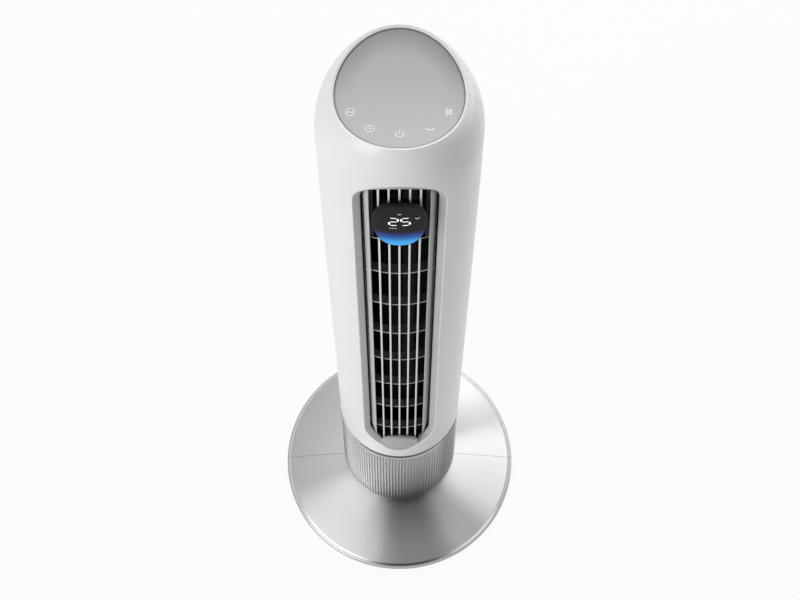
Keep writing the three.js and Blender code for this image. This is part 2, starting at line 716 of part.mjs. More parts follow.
function shoulderDrop(sine) {
  const lean = (SHOULDER_REAR - SHOULDER_FRONT) / 2;
  const bow = (SHOULDER_REAR + SHOULDER_FRONT) / 2 - SHOULDER_SIDE;
  return SHOULDER_SIDE + lean * sine + bow * sine * sine;
}

// The shell's solid form, drawn in by a wall and lowered at the top by a roof.
function shellForm(wall, roof, foot, levels, shoulderSteps, facets) {
  const around = (make) => Array.from({ length: facets }, (_, i) => make(2 * Math.PI * i / facets));
  const level = (z, inset) => around((angle) => {
    const radius = shellRadius(z) - wall - inset;
    return [radius * Math.cos(angle), radius * Math.sin(angle), z];
  });
  const rings = [level(foot, wall ? 0 : SHELL_CHAMFER)];
  if (!wall) rings.push(level(foot + SHELL_CHAMFER, 0));
  for (const share of levels) rings.push(level(shellFoot + share * SHELL_HEIGHT, 0));
  for (let step = 0; step <= shoulderSteps; step += 1) {
    const turn = step / shoulderSteps * Math.PI / 2;
    const across = Math.cos(turn) ** (2 / SHOULDER_POWER);
    const up = Math.sin(turn) ** (2 / SHOULDER_POWER);
    rings.push(around((angle) => {
      const sine = Math.sin(angle);
      const edge = PANEL_RADIUS - wall;
      const top = panelHeight(PANEL_RADIUS * sine) - roof;
      const start = panelHeight(PANEL_RADIUS * sine) - shoulderDrop(sine);
      const radius = edge + (shellRadius(start) - wall - edge) * across;
      return [radius * Math.cos(angle), radius * sine, start + (top - start) * up];
    }));
  }
  const inner = PANEL_RADIUS - wall - 3 * PANEL_LIP;
  rings.push(around((angle) => [inner * Math.cos(angle), inner * Math.sin(angle),
    panelHeight(inner * Math.sin(angle)) - roof]));
  return lofted(rings);
}

// A disc that follows the panel's scoop, between two depths below the lip.
function scoopedDisc(radius, upper, lower, segments) {
  const at = (share, depth) => Array.from({ length: segments }, (_, i) => {
    const angle = 2 * Math.PI * i / segments;
    const y = share * radius * Math.sin(angle);
    return [share * radius * Math.cos(angle), y, panelHeight(y) - depth];
  });
  return lofted([at(0.55, lower), at(1, lower), at(1, upper), at(0.55, upper)]);
}

// Outline of the outlet drawn in by an inset: a half circle over the head, down the right side,
// a half circle round the foot and up the left side.
function outletOutline(inset) {
  const half = OUTLET_HALF_WIDTH - inset;
  const points = [];
  const arc = (z, from, to, steps) => {
    for (let k = 0; k <= steps; k += 1) {
      const angle = radians(from + (to - from) * k / steps);
      points.push([half * Math.cos(angle), z + half * Math.sin(angle)]);
    }
  };
  const side = (sign, down) => {
    for (const share of [0.35, 0.7]) {
      const along = down ? share : 1 - share;
      points.push([sign * half, headArcZ - (headArcZ - outletArcZ) * along]);
    }
  };
  arc(headArcZ, HALF_TURN, 0, 12);
  side(1, true);
  arc(outletArcZ, 0, -HALF_TURN, 16);
  side(-1, false);
  return points;
}

function outlineShape(points) {
  return new THREE.Shape(points.map(([x, z]) => new THREE.Vector2(x, z)));
}

// A ring with the shell's taper, between two depths under the shell's face.
function taperedRing(outerDepth, innerDepth, low, high) {
  const levels = [low, high];
  const outer = levels.map((z) => [shellRadius(z) - outerDepth, z]);
  const inner = levels.map((z) => [shellRadius(z) - innerDepth, z]).reverse();
  return ring([...outer, ...inner], FINE);
}

const socketCutter = () => pegAlongY(SOCKET_RADIUS + FIT, 0, scentZ, -BASE_RADIUS, 0, COARSE);

function inletShape(inset) {
  const low = shellFoot + INLET_SILL;
  const high = panelZ - INLET_HEAD;
  return roundedRectangle(INLET_HALF_WIDTH - inset, (high - low) / 2 - inset,
    INLET_CORNER_RADIUS - inset, 0, (high + low) / 2);
}

const bossXLow = SHELL_RADIUS - BOSS_INSET_LOW;
const bossXHigh = SHELL_RADIUS - BOSS_INSET_HIGH;
const bossPlaces = [[-bossXLow, bossLowZ], [bossXLow, bossLowZ],
  [-bossXHigh, bossHighZ], [bossXHigh, bossHighZ]];

const panelSeat = PANEL_SINK + PANEL_THICKNESS + FIT;
const panelRoof = panelSeat + SHELL_WALL;

function wholeShell() {
  const outer = shellForm(0, 0, shellFoot, [0.5, 0.89], 4, FINE);
  const inner = shellForm(SHELL_WALL, panelRoof, shellFoot - PAST, [0.5, 0.89], 3, MEDIUM);
  const pocket = scoopedDisc(PANEL_RADIUS - PANEL_LIP, -PANEL_SCOOP, panelSeat, FINE);
  const eye = drum(PANEL_RADIUS - PANEL_LIP - PANEL_LEDGE, panelZ - SHOULDER_SIDE, panelZ + SHOULDER_SIDE);
  return { outer, hollow: cut(outer, inner, pocket, eye) };
}

const shell = wholeShell();

function shellBosses(front, back) {
  const pegs = bossPlaces.map(([x, z]) => pegAlongY(BOSS_RADIUS, x, z, front, back));
  return join(...pegs).intersect(shell.outer);
}

function frontShell() {
  const opening = standing(outlineShape(outletOutline(0)), -BASE_RADIUS, 0);
  let front = cut(frontOf(shell.hollow), opening, socketCutter());
  front = front.add(shellBosses(-BASE_RADIUS, -SEAM / 2));
  for (const [x, z] of bossPlaces) {
    const shankEnd = BOSS_COUNTERBORE_Y - SCREW_HEAD_HEIGHT - 2 * SCREW_LENGTH - FIT;
    front = front.subtract(pegAlongY(SCREW_SHANK_RADIUS + FIT, x, z, shankEnd, PAST));
  }
  return front;
}

function rearShell() {
  const window = standing(inletShape(0), 0, BASE_RADIUS);
  let rear = rearOf(shell.hollow).subtract(window);
  rear = rear.add(shellBosses(SEAM / 2, BASE_RADIUS));
  for (const [x, z] of bossPlaces) {
    const seat = BOSS_COUNTERBORE_Y - SCREW_HEAD_HEIGHT;
    rear = rear.subtract(pegAlongY(SCREW_HEAD_RADIUS + FIT, x, z, seat, BASE_RADIUS));
    rear = rear.subtract(pegAlongY(SCREW_SHANK_RADIUS + FIT, x, z, -PAST, BASE_RADIUS));
  }
  return rear;
}

function shellScrew([x, z]) {
  const seat = BOSS_COUNTERBORE_Y - SCREW_HEAD_HEIGHT;
  const head = pegAlongY(SCREW_HEAD_RADIUS, x, z, seat, seat + SCREW_HEAD_HEIGHT);
  const shank = pegAlongY(SCREW_SHANK_RADIUS, x, z, seat - 2 * SCREW_LENGTH, seat + 1);
  return join(head, shank);
}

function inletGrille() {
  const low = shellFoot + INLET_SILL;
  const high = panelZ - INLET_HEAD;
  const slots = [];
  const span = high - low - 2 * INLET_FRAME;
  const slotHeight = (span - (INLET_ROWS - 1) * SLOT_BRIDGE) / INLET_ROWS;
  const middle = (INLET_COLUMNS - 1) / 2;
  const radius = shellRadius((low + high) / 2);
  const pitch = Math.asin((INLET_HALF_WIDTH - INLET_EDGE) / radius) / middle;
  for (let column = 0; column < INLET_COLUMNS; column += 1) {
    const angle = pitch * (column - middle);
    const x = radius * Math.sin(angle);
    const half = SLOT_WIDTH / 2 * Math.cos(angle);
    for (let row = 0; row < INLET_ROWS; row += 1) {
      const bottom = low + INLET_FRAME + row * (slotHeight + SLOT_BRIDGE);
      slots.push([x - half, x + half, 0, BASE_RADIUS, bottom, bottom + slotHeight]);
    }
  }
  const plate = standing(inletShape(FIT), INLET_HALF_WIDTH / 2, SHELL_RADIUS + PAST);
  return plate.intersect(taperedRing(0, SHELL_WALL, low - PAST, high + PAST)).subtract(blocks(slots));
}

// ---------- touch panel ----------

const touchPanel = () => scoopedDisc(PANEL_RADIUS - PANEL_LIP - FIT, PANEL_SINK,
  PANEL_SINK + PANEL_THICKNESS, FINE);

function touchFilm() {
  const upper = PANEL_SINK + PANEL_THICKNESS + 2 * FIT;
  return scoopedDisc(PANEL_RADIUS - PANEL_LIP - PANEL_LEDGE - FIT, upper, upper + FILM_THICKNESS, MEDIUM);
}

// ---------- outlet ----------

// A funnel-shaped frame: its section runs along the outlet's outline, drawn in and set back.
function outletBezel() {
  const section = [[FIT, BEZEL_FRONT_DEPTH], [BEZEL_WIDTH, BEZEL_REAR_DEPTH],
    [BEZEL_WIDTH, BEZEL_REAR_DEPTH + BEZEL_THICKNESS], [FIT, BEZEL_FRONT_DEPTH + BEZEL_THICKNESS]];
  const rails = section.map(([inset, depth]) => outletOutline(inset).map(([x, z]) => {
    const radius = shellRadius(z) - depth;
    return [x, -Math.sqrt(radius * radius - x * x), z];
  }));
  return cut(lofted(rails, true), socketCutter());
}

const ribLevels = Array.from({ length: LADDER_RIBS },
  (_, k) => outletFoot + FIRST_RIB_ABOVE_SILL + k * RIB_PITCH);

// A rounded outline about the pod's centre: the higher the power, the squarer it is.
function podOutline(halfWidth, halfHeight, power) {
  const bend = (value) => Math.sign(value) * Math.abs(value) ** (2 / power);
  return Array.from({ length: MEDIUM }, (_, k) => {
    const angle = 2 * Math.PI * (k + 0.5) / MEDIUM;
    return [halfWidth * bend(Math.cos(angle)), podZ + halfHeight * bend(Math.sin(angle))];
  });
}

function podSolid(inset) {
  const outline = podOutline(POD_HALF_WIDTH - inset, POD_HALF_HEIGHT - inset, POD_POWER);
  return standing(outlineShape(outline), -BASE_RADIUS, -INLET_HALF_WIDTH / 2);
}

// The pod's form grown by a gap: full at its face, and drawn in to a waist where the bars end.
function podForm(grow) {
  const face = shellRadius(podZ) + POD_PROUD;
  const stations = [
    [POD_WAIST_HALF_WIDTH, POD_WAIST_HALF_HEIGHT, POD_WAIST_POWER, SHELL_RADIUS / 2],
    [POD_WAIST_HALF_WIDTH, POD_WAIST_HALF_HEIGHT, POD_WAIST_POWER, POD_WAIST_DEPTH],
    [POD_HALF_WIDTH, POD_HALF_HEIGHT, POD_POWER, POD_EDGE],
    [POD_HALF_WIDTH, POD_HALF_HEIGHT, POD_POWER, -grow],
  ];
  return lofted(stations.map(([halfWidth, halfHeight, power, depth]) => {
    const radius = face - depth;
    return podOutline(halfWidth + grow, halfHeight + grow, power)
      .map(([x, z]) => [x, -Math.sqrt(radius * radius - x * x), z]);
  }));
}

function outletGrille() {
  const inset = OUTLET_HALF_WIDTH - GRILLE_HALF_WIDTH;
  const slots = [];
  const slotHalf = (BAR_PITCH - BAR_WIDTH) / 2;
  const arcRadius = BAR_GAPS / 2 * BAR_PITCH;
  const headRadius = GRILLE_HALF_WIDTH - BAR_WIDTH;
  for (let gap = 0; gap < BAR_GAPS; gap += 1) {
    const x = (gap - (BAR_GAPS - 1) / 2) * BAR_PITCH;
    const reach = Math.abs(x) + slotHalf;
    const foot = outletArcZ - Math.sqrt(Math.max(1, arcRadius * arcRadius - reach * reach));
    const head = headArcZ + Math.sqrt(Math.max(1, headRadius * headRadius - reach * reach));
    const ties = ribLevels.filter((_, k) => k % TIE_EVERY === 0);
    const lows = [foot, ...ties.map((z) => z + RIB_THICKNESS / 2)];
    const highs = [...ties.map((z) => z - RIB_THICKNESS / 2), head];
    lows.forEach((low, row) => slots.push([x - slotHalf, x + slotHalf, -BASE_RADIUS, 0, low, highs[row]]));
  }
  const plate = standing(outlineShape(outletOutline(inset)), -SHELL_RADIUS - PAST, 0);
  const face = taperedRing(GRILLE_DEPTH, GRILLE_DEPTH + BAR_DEPTH, outletFoot, outletTop);
  return cut(plate.intersect(face), blocks(slots), socketCutter(), podForm(FIT));
}

// Two rails with curved deep ribs between them, and a curved carrier behind the display pod.
function ribLadder() {
  const low = ductFloorTop + FIT;
  const high = ductTopFoot - FIT;
  const frontY = -SHELL_RADIUS;
  const backY = -ductMouthY;
  const railInner = RAIL_OUTER_HALF - RAIL_WIDTH;
  const rails = [-1, 1].map((side) => block(Math.min(side * railInner, side * RAIL_OUTER_HALF),
    Math.max(side * railInner, side * RAIL_OUTER_HALF), frontY, backY, low, high));
  const reach = RAIL_OUTER_HALF - FIT;
  const bar = (foot, top) => block(-reach, reach, frontY, RIB_BACK_DEPTH - SHELL_RADIUS, foot, top);
  const ribs = ribLevels.map((z) => bar(z - RIB_THICKNESS / 2, z + RIB_THICKNESS / 2));
  ribs.push(bar(high - RIB_THICKNESS * 2, high));
  const depth = GRILLE_DEPTH + BAR_DEPTH + FIT;
  const front = taperedRing(depth, SHELL_RADIUS / 2, low - PAST, high + PAST);
  const carrierFront = taperedRing(depth, depth + CARRIER_THICKNESS, low - PAST, high + PAST);
  const carrier = bar(podZ - POD_HALF_HEIGHT, high - RIB_THICKNESS).intersect(carrierFront);
  const ladder = join(...rails, ...ribs).intersect(join(front, carrierFront)).add(carrier);
  return cut(ladder, socketCutter());
}

function podRing(outer, inner) {
  const radius = shellRadius(podZ) + POD_PROUD;
  const low = podZ - POD_HALF_HEIGHT - PAST;
  const high = podZ + POD_HALF_HEIGHT + PAST;
  return ring([[radius - inner, low], [radius - outer, low], [radius - outer, high],
    [radius - inner, high]], FINE);
}

function displayHousing() {
  const back = taperedRing(-POD_PROUD - PAST, GRILLE_DEPTH + BAR_DEPTH,
    podZ - POD_HALF_HEIGHT - PAST, podZ + POD_HALF_HEIGHT + PAST);
  const lensPocket = podSolid(POD_WALL).intersect(podRing(-PAST, LENS_THICKNESS + FIT));
  const boardBack = LENS_THICKNESS + BOARD_THICKNESS + 2 * FIT;
  const boardPocket = podSolid(POD_BOARD_INSET).intersect(podRing(0, boardBack));
  return cut(podForm(0).intersect(back), lensPocket, boardPocket);
}

const displayLens = () => podSolid(POD_WALL + FIT).intersect(podRing(0, LENS_THICKNESS));
const displayBoard = () => podSolid(POD_BOARD_INSET + FIT)
  .intersect(podRing(LENS_THICKNESS + FIT, LENS_THICKNESS + BOARD_THICKNESS + FIT));

// ---------- scent capsule ----------

const scentFaceRadius = shellRadius(scentZ) + SOCKET_PROUD;
const scentFace = () => drum(scentFaceRadius, scentZ - SOCKET_RADIUS - PAST, scentZ + SOCKET_RADIUS + PAST,
  FINE);
const socketBore = SOCKET_RADIUS - SOCKET_WALL;
const capsuleRadius = socketBore - CAPSULE_CLEARANCE;
const capsuleBack = -socketRearY - SOCKET_BACK - FIT;

function scentSocket() {
  const sleeve = pegAlongY(SOCKET_RADIUS, 0, scentZ, -BASE_RADIUS, -socketRearY, COARSE);
  const bore = pegAlongY(socketBore, 0, scentZ, -BASE_RADIUS, -socketRearY - SOCKET_BACK, COARSE);
  return sleeve.intersect(scentFace()).subtract(bore);
}

function scentCapsule() {
  const body = pegAlongY(capsuleRadius, 0, scentZ, -BASE_RADIUS, capsuleBack, COARSE);
  const cup = pegAlongY(capsuleRadius - CAPSULE_WALL, 0, scentZ,
    -scentFaceRadius + CAPSULE_FACE, 0, COARSE);
  return body.intersect(scentFace()).subtract(cup);
}

function scentPad() {
  const front = -scentFaceRadius + CAPSULE_FACE + FIT;
  return pegAlongY(capsuleRadius - CAPSULE_WALL - FIT, 0, scentZ, front, front + PAD_LENGTH, COARSE);
}

// ---------- duct, impeller and motors ----------

const leadHole = (low, high, slack = 1) => shift(drum(LEAD_RADIUS + slack, low - PAST, high + PAST, SMALL),
  leadX, leadY);

function towerFloor() {
  const plate = drum(shellInside(floorTop) - FIT, flangeTop, floorTop);
  return plate.subtract(leadHole(flangeTop, floorTop, LEAD_SLACK));
}

function fanMotor() {
  const edge = 3;
  const can = turned([
    [0, floorTop], [MOTOR_RADIUS - edge, floorTop], [MOTOR_RADIUS - edge, floorTop + 2 * edge],
    [MOTOR_RADIUS, floorTop + 3 * edge], [MOTOR_RADIUS, motorTop - edge],
    [MOTOR_RADIUS - edge, motorTop], [MOTOR_BOSS_RADIUS, motorTop],
    [MOTOR_BOSS_RADIUS, motorTop + MOTOR_BOSS_HEIGHT], [0, motorTop + MOTOR_BOSS_HEIGHT],
  ], COARSE);
  return shift(can, 0, IMPELLER_Y);
}

function ductFloor() {
  const plate = drum(shellInside(ductFloorTop) - FIT, ductFloorFoot, ductFloorTop);
  const shaftHole = shift(drum(DRIVE_SHAFT_RADIUS + 2, ductFloorFoot - PAST, ductFloorTop + PAST, SMALL * 2),
    0, IMPELLER_Y);
  const mouth = outletCutter();
  return cut(plate, shaftHole, leadHole(ductFloorFoot, ductFloorTop), socketCutter(), mouth);
}

// Space that the bezel and the grille fill in front of the duct plates.
function outletCutter() {
  const depth = BEZEL_REAR_DEPTH + BEZEL_THICKNESS + FIT;
  const front = taperedRing(-PAST, depth, shellFoot, panelZ);
  return front.intersect(standing(outlineShape(outletOutline(0)), -BASE_RADIUS, 0));
}

function ductTop() {
  const inside = shellForm(SHELL_WALL + FIT, panelRoof + FIT, shellFoot, [0.5, 0.89], 3, MEDIUM);
  let plate = drum(SHELL_RADIUS, ductTopFoot, ductTopTop).intersect(inside);
  for (const sx of [-1, 1]) {
    for (const sy of [-1, 1]) {
      const post = drum(POST_RADIUS, ductTopTop - 1, ductTopTop + POST_HEIGHT - FIT, SMALL);
      plate = plate.add(shift(post, sx * (BOARD_HALF_WIDTH - 5 * POST_RADIUS),
        sy * (BOARD_HALF_DEPTH - 5 * POST_RADIUS)));
    }
  }
  const bushHole = shift(drum(BUSH_RADIUS + FIT, ductTopFoot - PAST, ductTopTop + PAST, SMALL * 2),
    0, IMPELLER_Y);
  return cut(plate, bushHole, leadHole(ductTopFoot, ductTopTop), outletCutter());
}

function upperBush() {
  const bush = ring([
    [TOP_SHAFT_RADIUS + FIT, ductTopFoot], [BUSH_RADIUS, ductTopFoot], [BUSH_RADIUS, ductTopTop + FIT],
    [BUSH_FLANGE_RADIUS, ductTopTop + FIT], [BUSH_FLANGE_RADIUS, ductTopTop + FIT + BUSH_FLANGE],
    [TOP_SHAFT_RADIUS + FIT, ductTopTop + FIT + BUSH_FLANGE],
  ], SMALL * 2);
  return shift(bush, 0, IMPELLER_Y);
}

// A duct wall in plan: a spiral about the impeller from the outlet's side, closing in on the blades.
function ductWall(side, endAngle, clearance, bend) {
  const mouthAngle = Math.atan2(DUCT_MOUTH_HALF, ductMouthY + IMPELLER_Y) * HALF_TURN / Math.PI;
  const mouthRadius = Math.hypot(DUCT_MOUTH_HALF, ductMouthY + IMPELLER_Y);
  const nearRadius = impellerRadius + clearance;
  const steps = 10;
  const at = (k, extra) => {
    const share = k / steps;
    const angle = radians(mouthAngle + (endAngle - mouthAngle) * share);
    const radius = nearRadius + (mouthRadius - nearRadius) * (1 - share) ** bend + extra;
    return [side * radius * Math.sin(angle), IMPELLER_Y - radius * Math.cos(angle)];
  };
  const points = [];
  for (let k = 0; k <= steps; k += 1) points.push(at(k, 0));
  for (let k = steps; k >= 0; k -= 1) points.push(at(k, DUCT_WALL));
  return slab(outlineShape(points), ductFloorTop + FIT, ductTopFoot - FIT);
}

const scrollWall = () => ductWall(-1, SCROLL_END_ANGLE, SCROLL_CLEARANCE, 2);
const tongueWall = () => ductWall(1, TONGUE_END_ANGLE, TONGUE_CLEARANCE, 1);

// One forward-swept blade in plan, at the given place round the wheel.
function bladeShape(turn) {
  const steps = 2;
  const at = (k, offset) => {
    const share = k / steps;
    const radius = impellerRadius - BLADE_DEPTH * (1 - share) - 0.2;
    const angle = turn + radians(BLADE_SWEEP) * share * share + offset / radius;
    return [radius * Math.cos(angle), radius * Math.sin(angle)];
  };
  const points = [];
  for (let k = 0; k <= steps; k += 1) points.push(at(k, -BLADE_THICKNESS / 2));
  for (let k = steps; k >= 0; k -= 1) points.push(at(k, BLADE_THICKNESS / 2));
  return outlineShape(points);
}

function impeller() {
  const blades = Array.from({ length: BLADE_COUNT },
    (_, k) => slab(bladeShape(2 * Math.PI * k / BLADE_COUNT), impellerFoot + 1, impellerTop - 1));
  let wheel = join(...blades);
  const pitch = (impellerTop - impellerFoot - DISC_THICKNESS) / (DISC_COUNT - 1);
  for (let k = 0; k < DISC_COUNT; k += 1) {
    const low = impellerFoot + k * pitch;
    const end = k === 0 || k === DISC_COUNT - 1;
    const innerRadius = impellerRadius - BLADE_DEPTH - 2;
    const disc = end ? drum(impellerRadius, low, low + DISC_THICKNESS)
      : ring([[innerRadius, low], [impellerRadius, low], [impellerRadius, low + DISC_THICKNESS],
        [innerRadius, low + DISC_THICKNESS]], MEDIUM);
    wheel = wheel.add(disc);
  }
  const drive = drum(DRIVE_SHAFT_RADIUS, motorTop + MOTOR_BOSS_HEIGHT + FIT, impellerFoot + 1, SMALL);
  const pivot = drum(TOP_SHAFT_RADIUS, impellerTop - 1, ductTopTop + BUSH_FLANGE, SMALL);
  return shift(join(wheel, drive, pivot), 0, IMPELLER_Y);
}

function mainBoard() {
  const low = ductTopTop + POST_HEIGHT;
  const board = slab(roundedRectangle(BOARD_HALF_WIDTH, BOARD_HALF_DEPTH, 2), low, low + BOARD_THICKNESS);
  const connector = block(-BOARD_HALF_WIDTH / 2, BOARD_HALF_WIDTH / 2, -BOARD_HALF_DEPTH / 2,
    0, low + 1, low + 2 * POST_HEIGHT);
  return join(board, connector);
}

// ---------- the scene graph ----------

const paint = {
  shell: { color: 0xf0f1f2, roughness: 0.35, metalness: 0 },
  panel: { color: 0xbebebe, roughness: 0.45, metalness: 0 },
  bezel: { color: 0xaaacad, roughness: 0.5, metalness: 0 },
  bars: { color: 0xc9cbcc, roughness: 0.35, metalness: 0.2 },
  ribs: { color: 0x55585b, roughness: 0.6, metalness: 0 },
  dark: { color: 0x141517, roughness: 0.6, metalness: 0 },
  glass: { color: 0x07090d, roughness: 0.1, metalness: 0 },
  collar: { color: 0x9b9d9f, roughness: 0.35, metalness: 0.7 },
  base: { color: 0xc4c5c6, roughness: 0.3, metalness: 0.9 },
  steel: { color: 0x9a9c9e, roughness: 0.35, metalness: 0.9 },
  rubber: { color: 0x2a2a2b, roughness: 0.9, metalness: 0 },
  nylon: { color: 0xe4e0d4, roughness: 0.55, metalness: 0 },
  board: { color: 0x1d5b36, roughness: 0.5, metalness: 0 },
  cap: { color: 0xafb0b1, roughness: 0.45, metalness: 0 },
  pad: { color: 0xd9d3c2, roughness: 0.9, metalness: 0 },
};

const fan = new THREE.Group();

function addPiece(name, solid, finish) {
  const mesh = new THREE.Mesh(toGeometry(solid), new THREE.MeshStandardMaterial(paint[finish]));
  mesh.name = name;
  fan.add(mesh);
}

const foot = wholeFoot();
addPiece('base_front_half', frontOf(foot), 'base');
addPiece('base_rear_half', rearOf(foot), 'base');
addPiece('base_plate', basePlate(), 'steel');
circlePlaces(FOOT_COUNT, BASE_RADIUS - FOOT_CIRCLE_INSET).forEach((place, k) => {
  addPiece(`foot_pad_${k + 1}`, footPad(place), 'rubber');
});
baseScrewPlaces.forEach(([x, y], k) => {
  addPiece(`base_screw_${k + 1}`, shift(screwUp(FOOT_HEIGHT), x, y), 'steel');
});
addPiece('supply_box', supplyBox(), 'dark');
addPiece('ribbed_collar', ribbedCollar(), 'collar');
collarScrewPlaces.forEach(([x, y], k) => {
  addPiece(`collar_screw_${k + 1}`, shift(screwUp(coneTop - BASE_WALL), x, y), 'steel');
});
addPiece('cord_gland', cordGland(), 'rubber');
addPiece('swivel_deck', swivelDeck(), 'dark');
deckScrewPlaces.forEach(([x, y], k) => {
  const screw = screwUp(0).rotate([HALF_TURN, 0, 0]).translate([x, y, deckTop]);
  addPiece(`deck_screw_${k + 1}`, screw, 'steel');
});
addPiece('glide_ring', glideRing(), 'nylon');
addPiece('oscillation_motor', oscillationMotor(), 'steel');
addPiece('oscillation_pinion', pinion(), 'nylon');
addPiece('base_lead', baseLead(), 'rubber');

addPiece('turntable', turntable(), 'dark');
addPiece('gear_ring', gearRing(), 'nylon');
addPiece('retaining_ring', retainingRing(), 'steel');
addPiece('tower_floor', towerFloor(), 'dark');
addPiece('front_shell', frontShell(), 'shell');
addPiece('rear_shell', rearShell(), 'shell');
addPiece('inlet_grille', inletGrille(), 'shell');
bossPlaces.forEach((place, k) => {
  addPiece(`shell_screw_${k + 1}`, shellScrew(place), 'steel');
});
addPiece('touch_panel', touchPanel(), 'panel');
addPiece('touch_film', touchFilm(), 'board');
addPiece('outlet_bezel', outletBezel(), 'bezel');
addPiece('outlet_grille', outletGrille(), 'bars');
addPiece('rib_ladder', ribLadder(), 'ribs');
addPiece('display_housing', displayHousing(), 'dark');
addPiece('display_board', displayBoard(), 'board');
addPiece('display_lens', displayLens(), 'glass');
addPiece('scent_socket', scentSocket(), 'bezel');
addPiece('scent_capsule', scentCapsule(), 'cap');
addPiece('scent_pad', scentPad(), 'pad');
addPiece('duct_floor', ductFloor(), 'ribs');
addPiece('duct_top', ductTop(), 'ribs');
addPiece('scroll_wall', scrollWall(), 'ribs');
addPiece('tongue_wall', tongueWall(), 'ribs');
addPiece('fan_motor', fanMotor(), 'steel');
addPiece('impeller', impeller(), 'dark');
addPiece('upper_bush', upperBush(), 'nylon');
addPiece('main_board', mainBoard(), 'board');
addPiece('tower_lead', towerLead(), 'rubber');

export default fan;
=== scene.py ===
"""Dresses a white tower fan: a round brushed foot, a ribbed collar and a tall white column with a
barred outlet, a touch panel, a display window and a scent capsule. The sizes in each section are in
millimetres, and they become metres when a mesh is laid."""
import math

import bmesh
import bpy
import numpy as np
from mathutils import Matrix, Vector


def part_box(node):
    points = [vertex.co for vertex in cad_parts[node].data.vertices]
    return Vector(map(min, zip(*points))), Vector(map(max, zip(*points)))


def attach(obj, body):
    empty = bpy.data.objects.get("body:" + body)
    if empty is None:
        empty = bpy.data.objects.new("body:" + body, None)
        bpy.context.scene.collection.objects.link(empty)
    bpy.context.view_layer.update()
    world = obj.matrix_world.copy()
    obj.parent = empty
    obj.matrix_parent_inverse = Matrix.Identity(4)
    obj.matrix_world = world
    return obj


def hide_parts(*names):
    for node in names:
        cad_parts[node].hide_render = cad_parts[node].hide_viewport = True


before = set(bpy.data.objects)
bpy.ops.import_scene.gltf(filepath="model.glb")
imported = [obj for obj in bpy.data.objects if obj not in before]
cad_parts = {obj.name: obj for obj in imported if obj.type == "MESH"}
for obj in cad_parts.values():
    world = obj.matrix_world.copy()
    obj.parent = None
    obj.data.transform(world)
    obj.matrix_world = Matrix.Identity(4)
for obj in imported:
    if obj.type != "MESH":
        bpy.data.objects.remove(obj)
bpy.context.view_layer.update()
scene = bpy.context.scene
scene.view_settings.view_transform = "Standard"

# ---------- camera ----------
# The photograph was taken from high in front of the fan, 1.8 m above the floor and 0.6 m ahead of
# the column, looking down at it.
lens = bpy.data.cameras.new("photo_camera")
lens.sensor_width = 36.0
lens.lens = 61.53
lens.shift_x = 0.0006
lens.clip_end = 40.0
camera = bpy.data.objects.new("photo_camera", lens)
camera.location = (0.0, -0.5847, 1.8247)
camera.rotation_euler = (math.radians(24.42), 0.0, 0.0)
scene.collection.objects.link(camera)
scene.camera = camera


# ---------- floor, surroundings and lamps ----------
# A matt white studio floor that keeps the fan's soft shadow, a white room round it, and large soft
# lamps: a broad one at the left front, a small one at the right, and two behind and over the head.
def sums(operation, reflected=False):
    """An operator that adds one Math node, with its own value first, or second where it is reflected."""
    def operator(self, other):
        first, second = (other, self) if reflected else (self, other)
        return self.finish.node("ShaderNodeMath", {"operation": operation}, {0: first, 1: second})
    return operator


class Value:
    """A shader output that does sums, with another Value or a number on either side."""
    __add__ = __radd__ = sums("ADD")
    __mul__ = __rmul__ = sums("MULTIPLY")
    __sub__, __rsub__ = sums("SUBTRACT"), sums("SUBTRACT", True)
    __truediv__, __rtruediv__ = sums("DIVIDE"), sums("DIVIDE", True)
    __pow__, __gt__ = sums("POWER"), sums("GREATER_THAN")

    def __init__(self, finish, output):
        self.finish = finish
        self.output = output


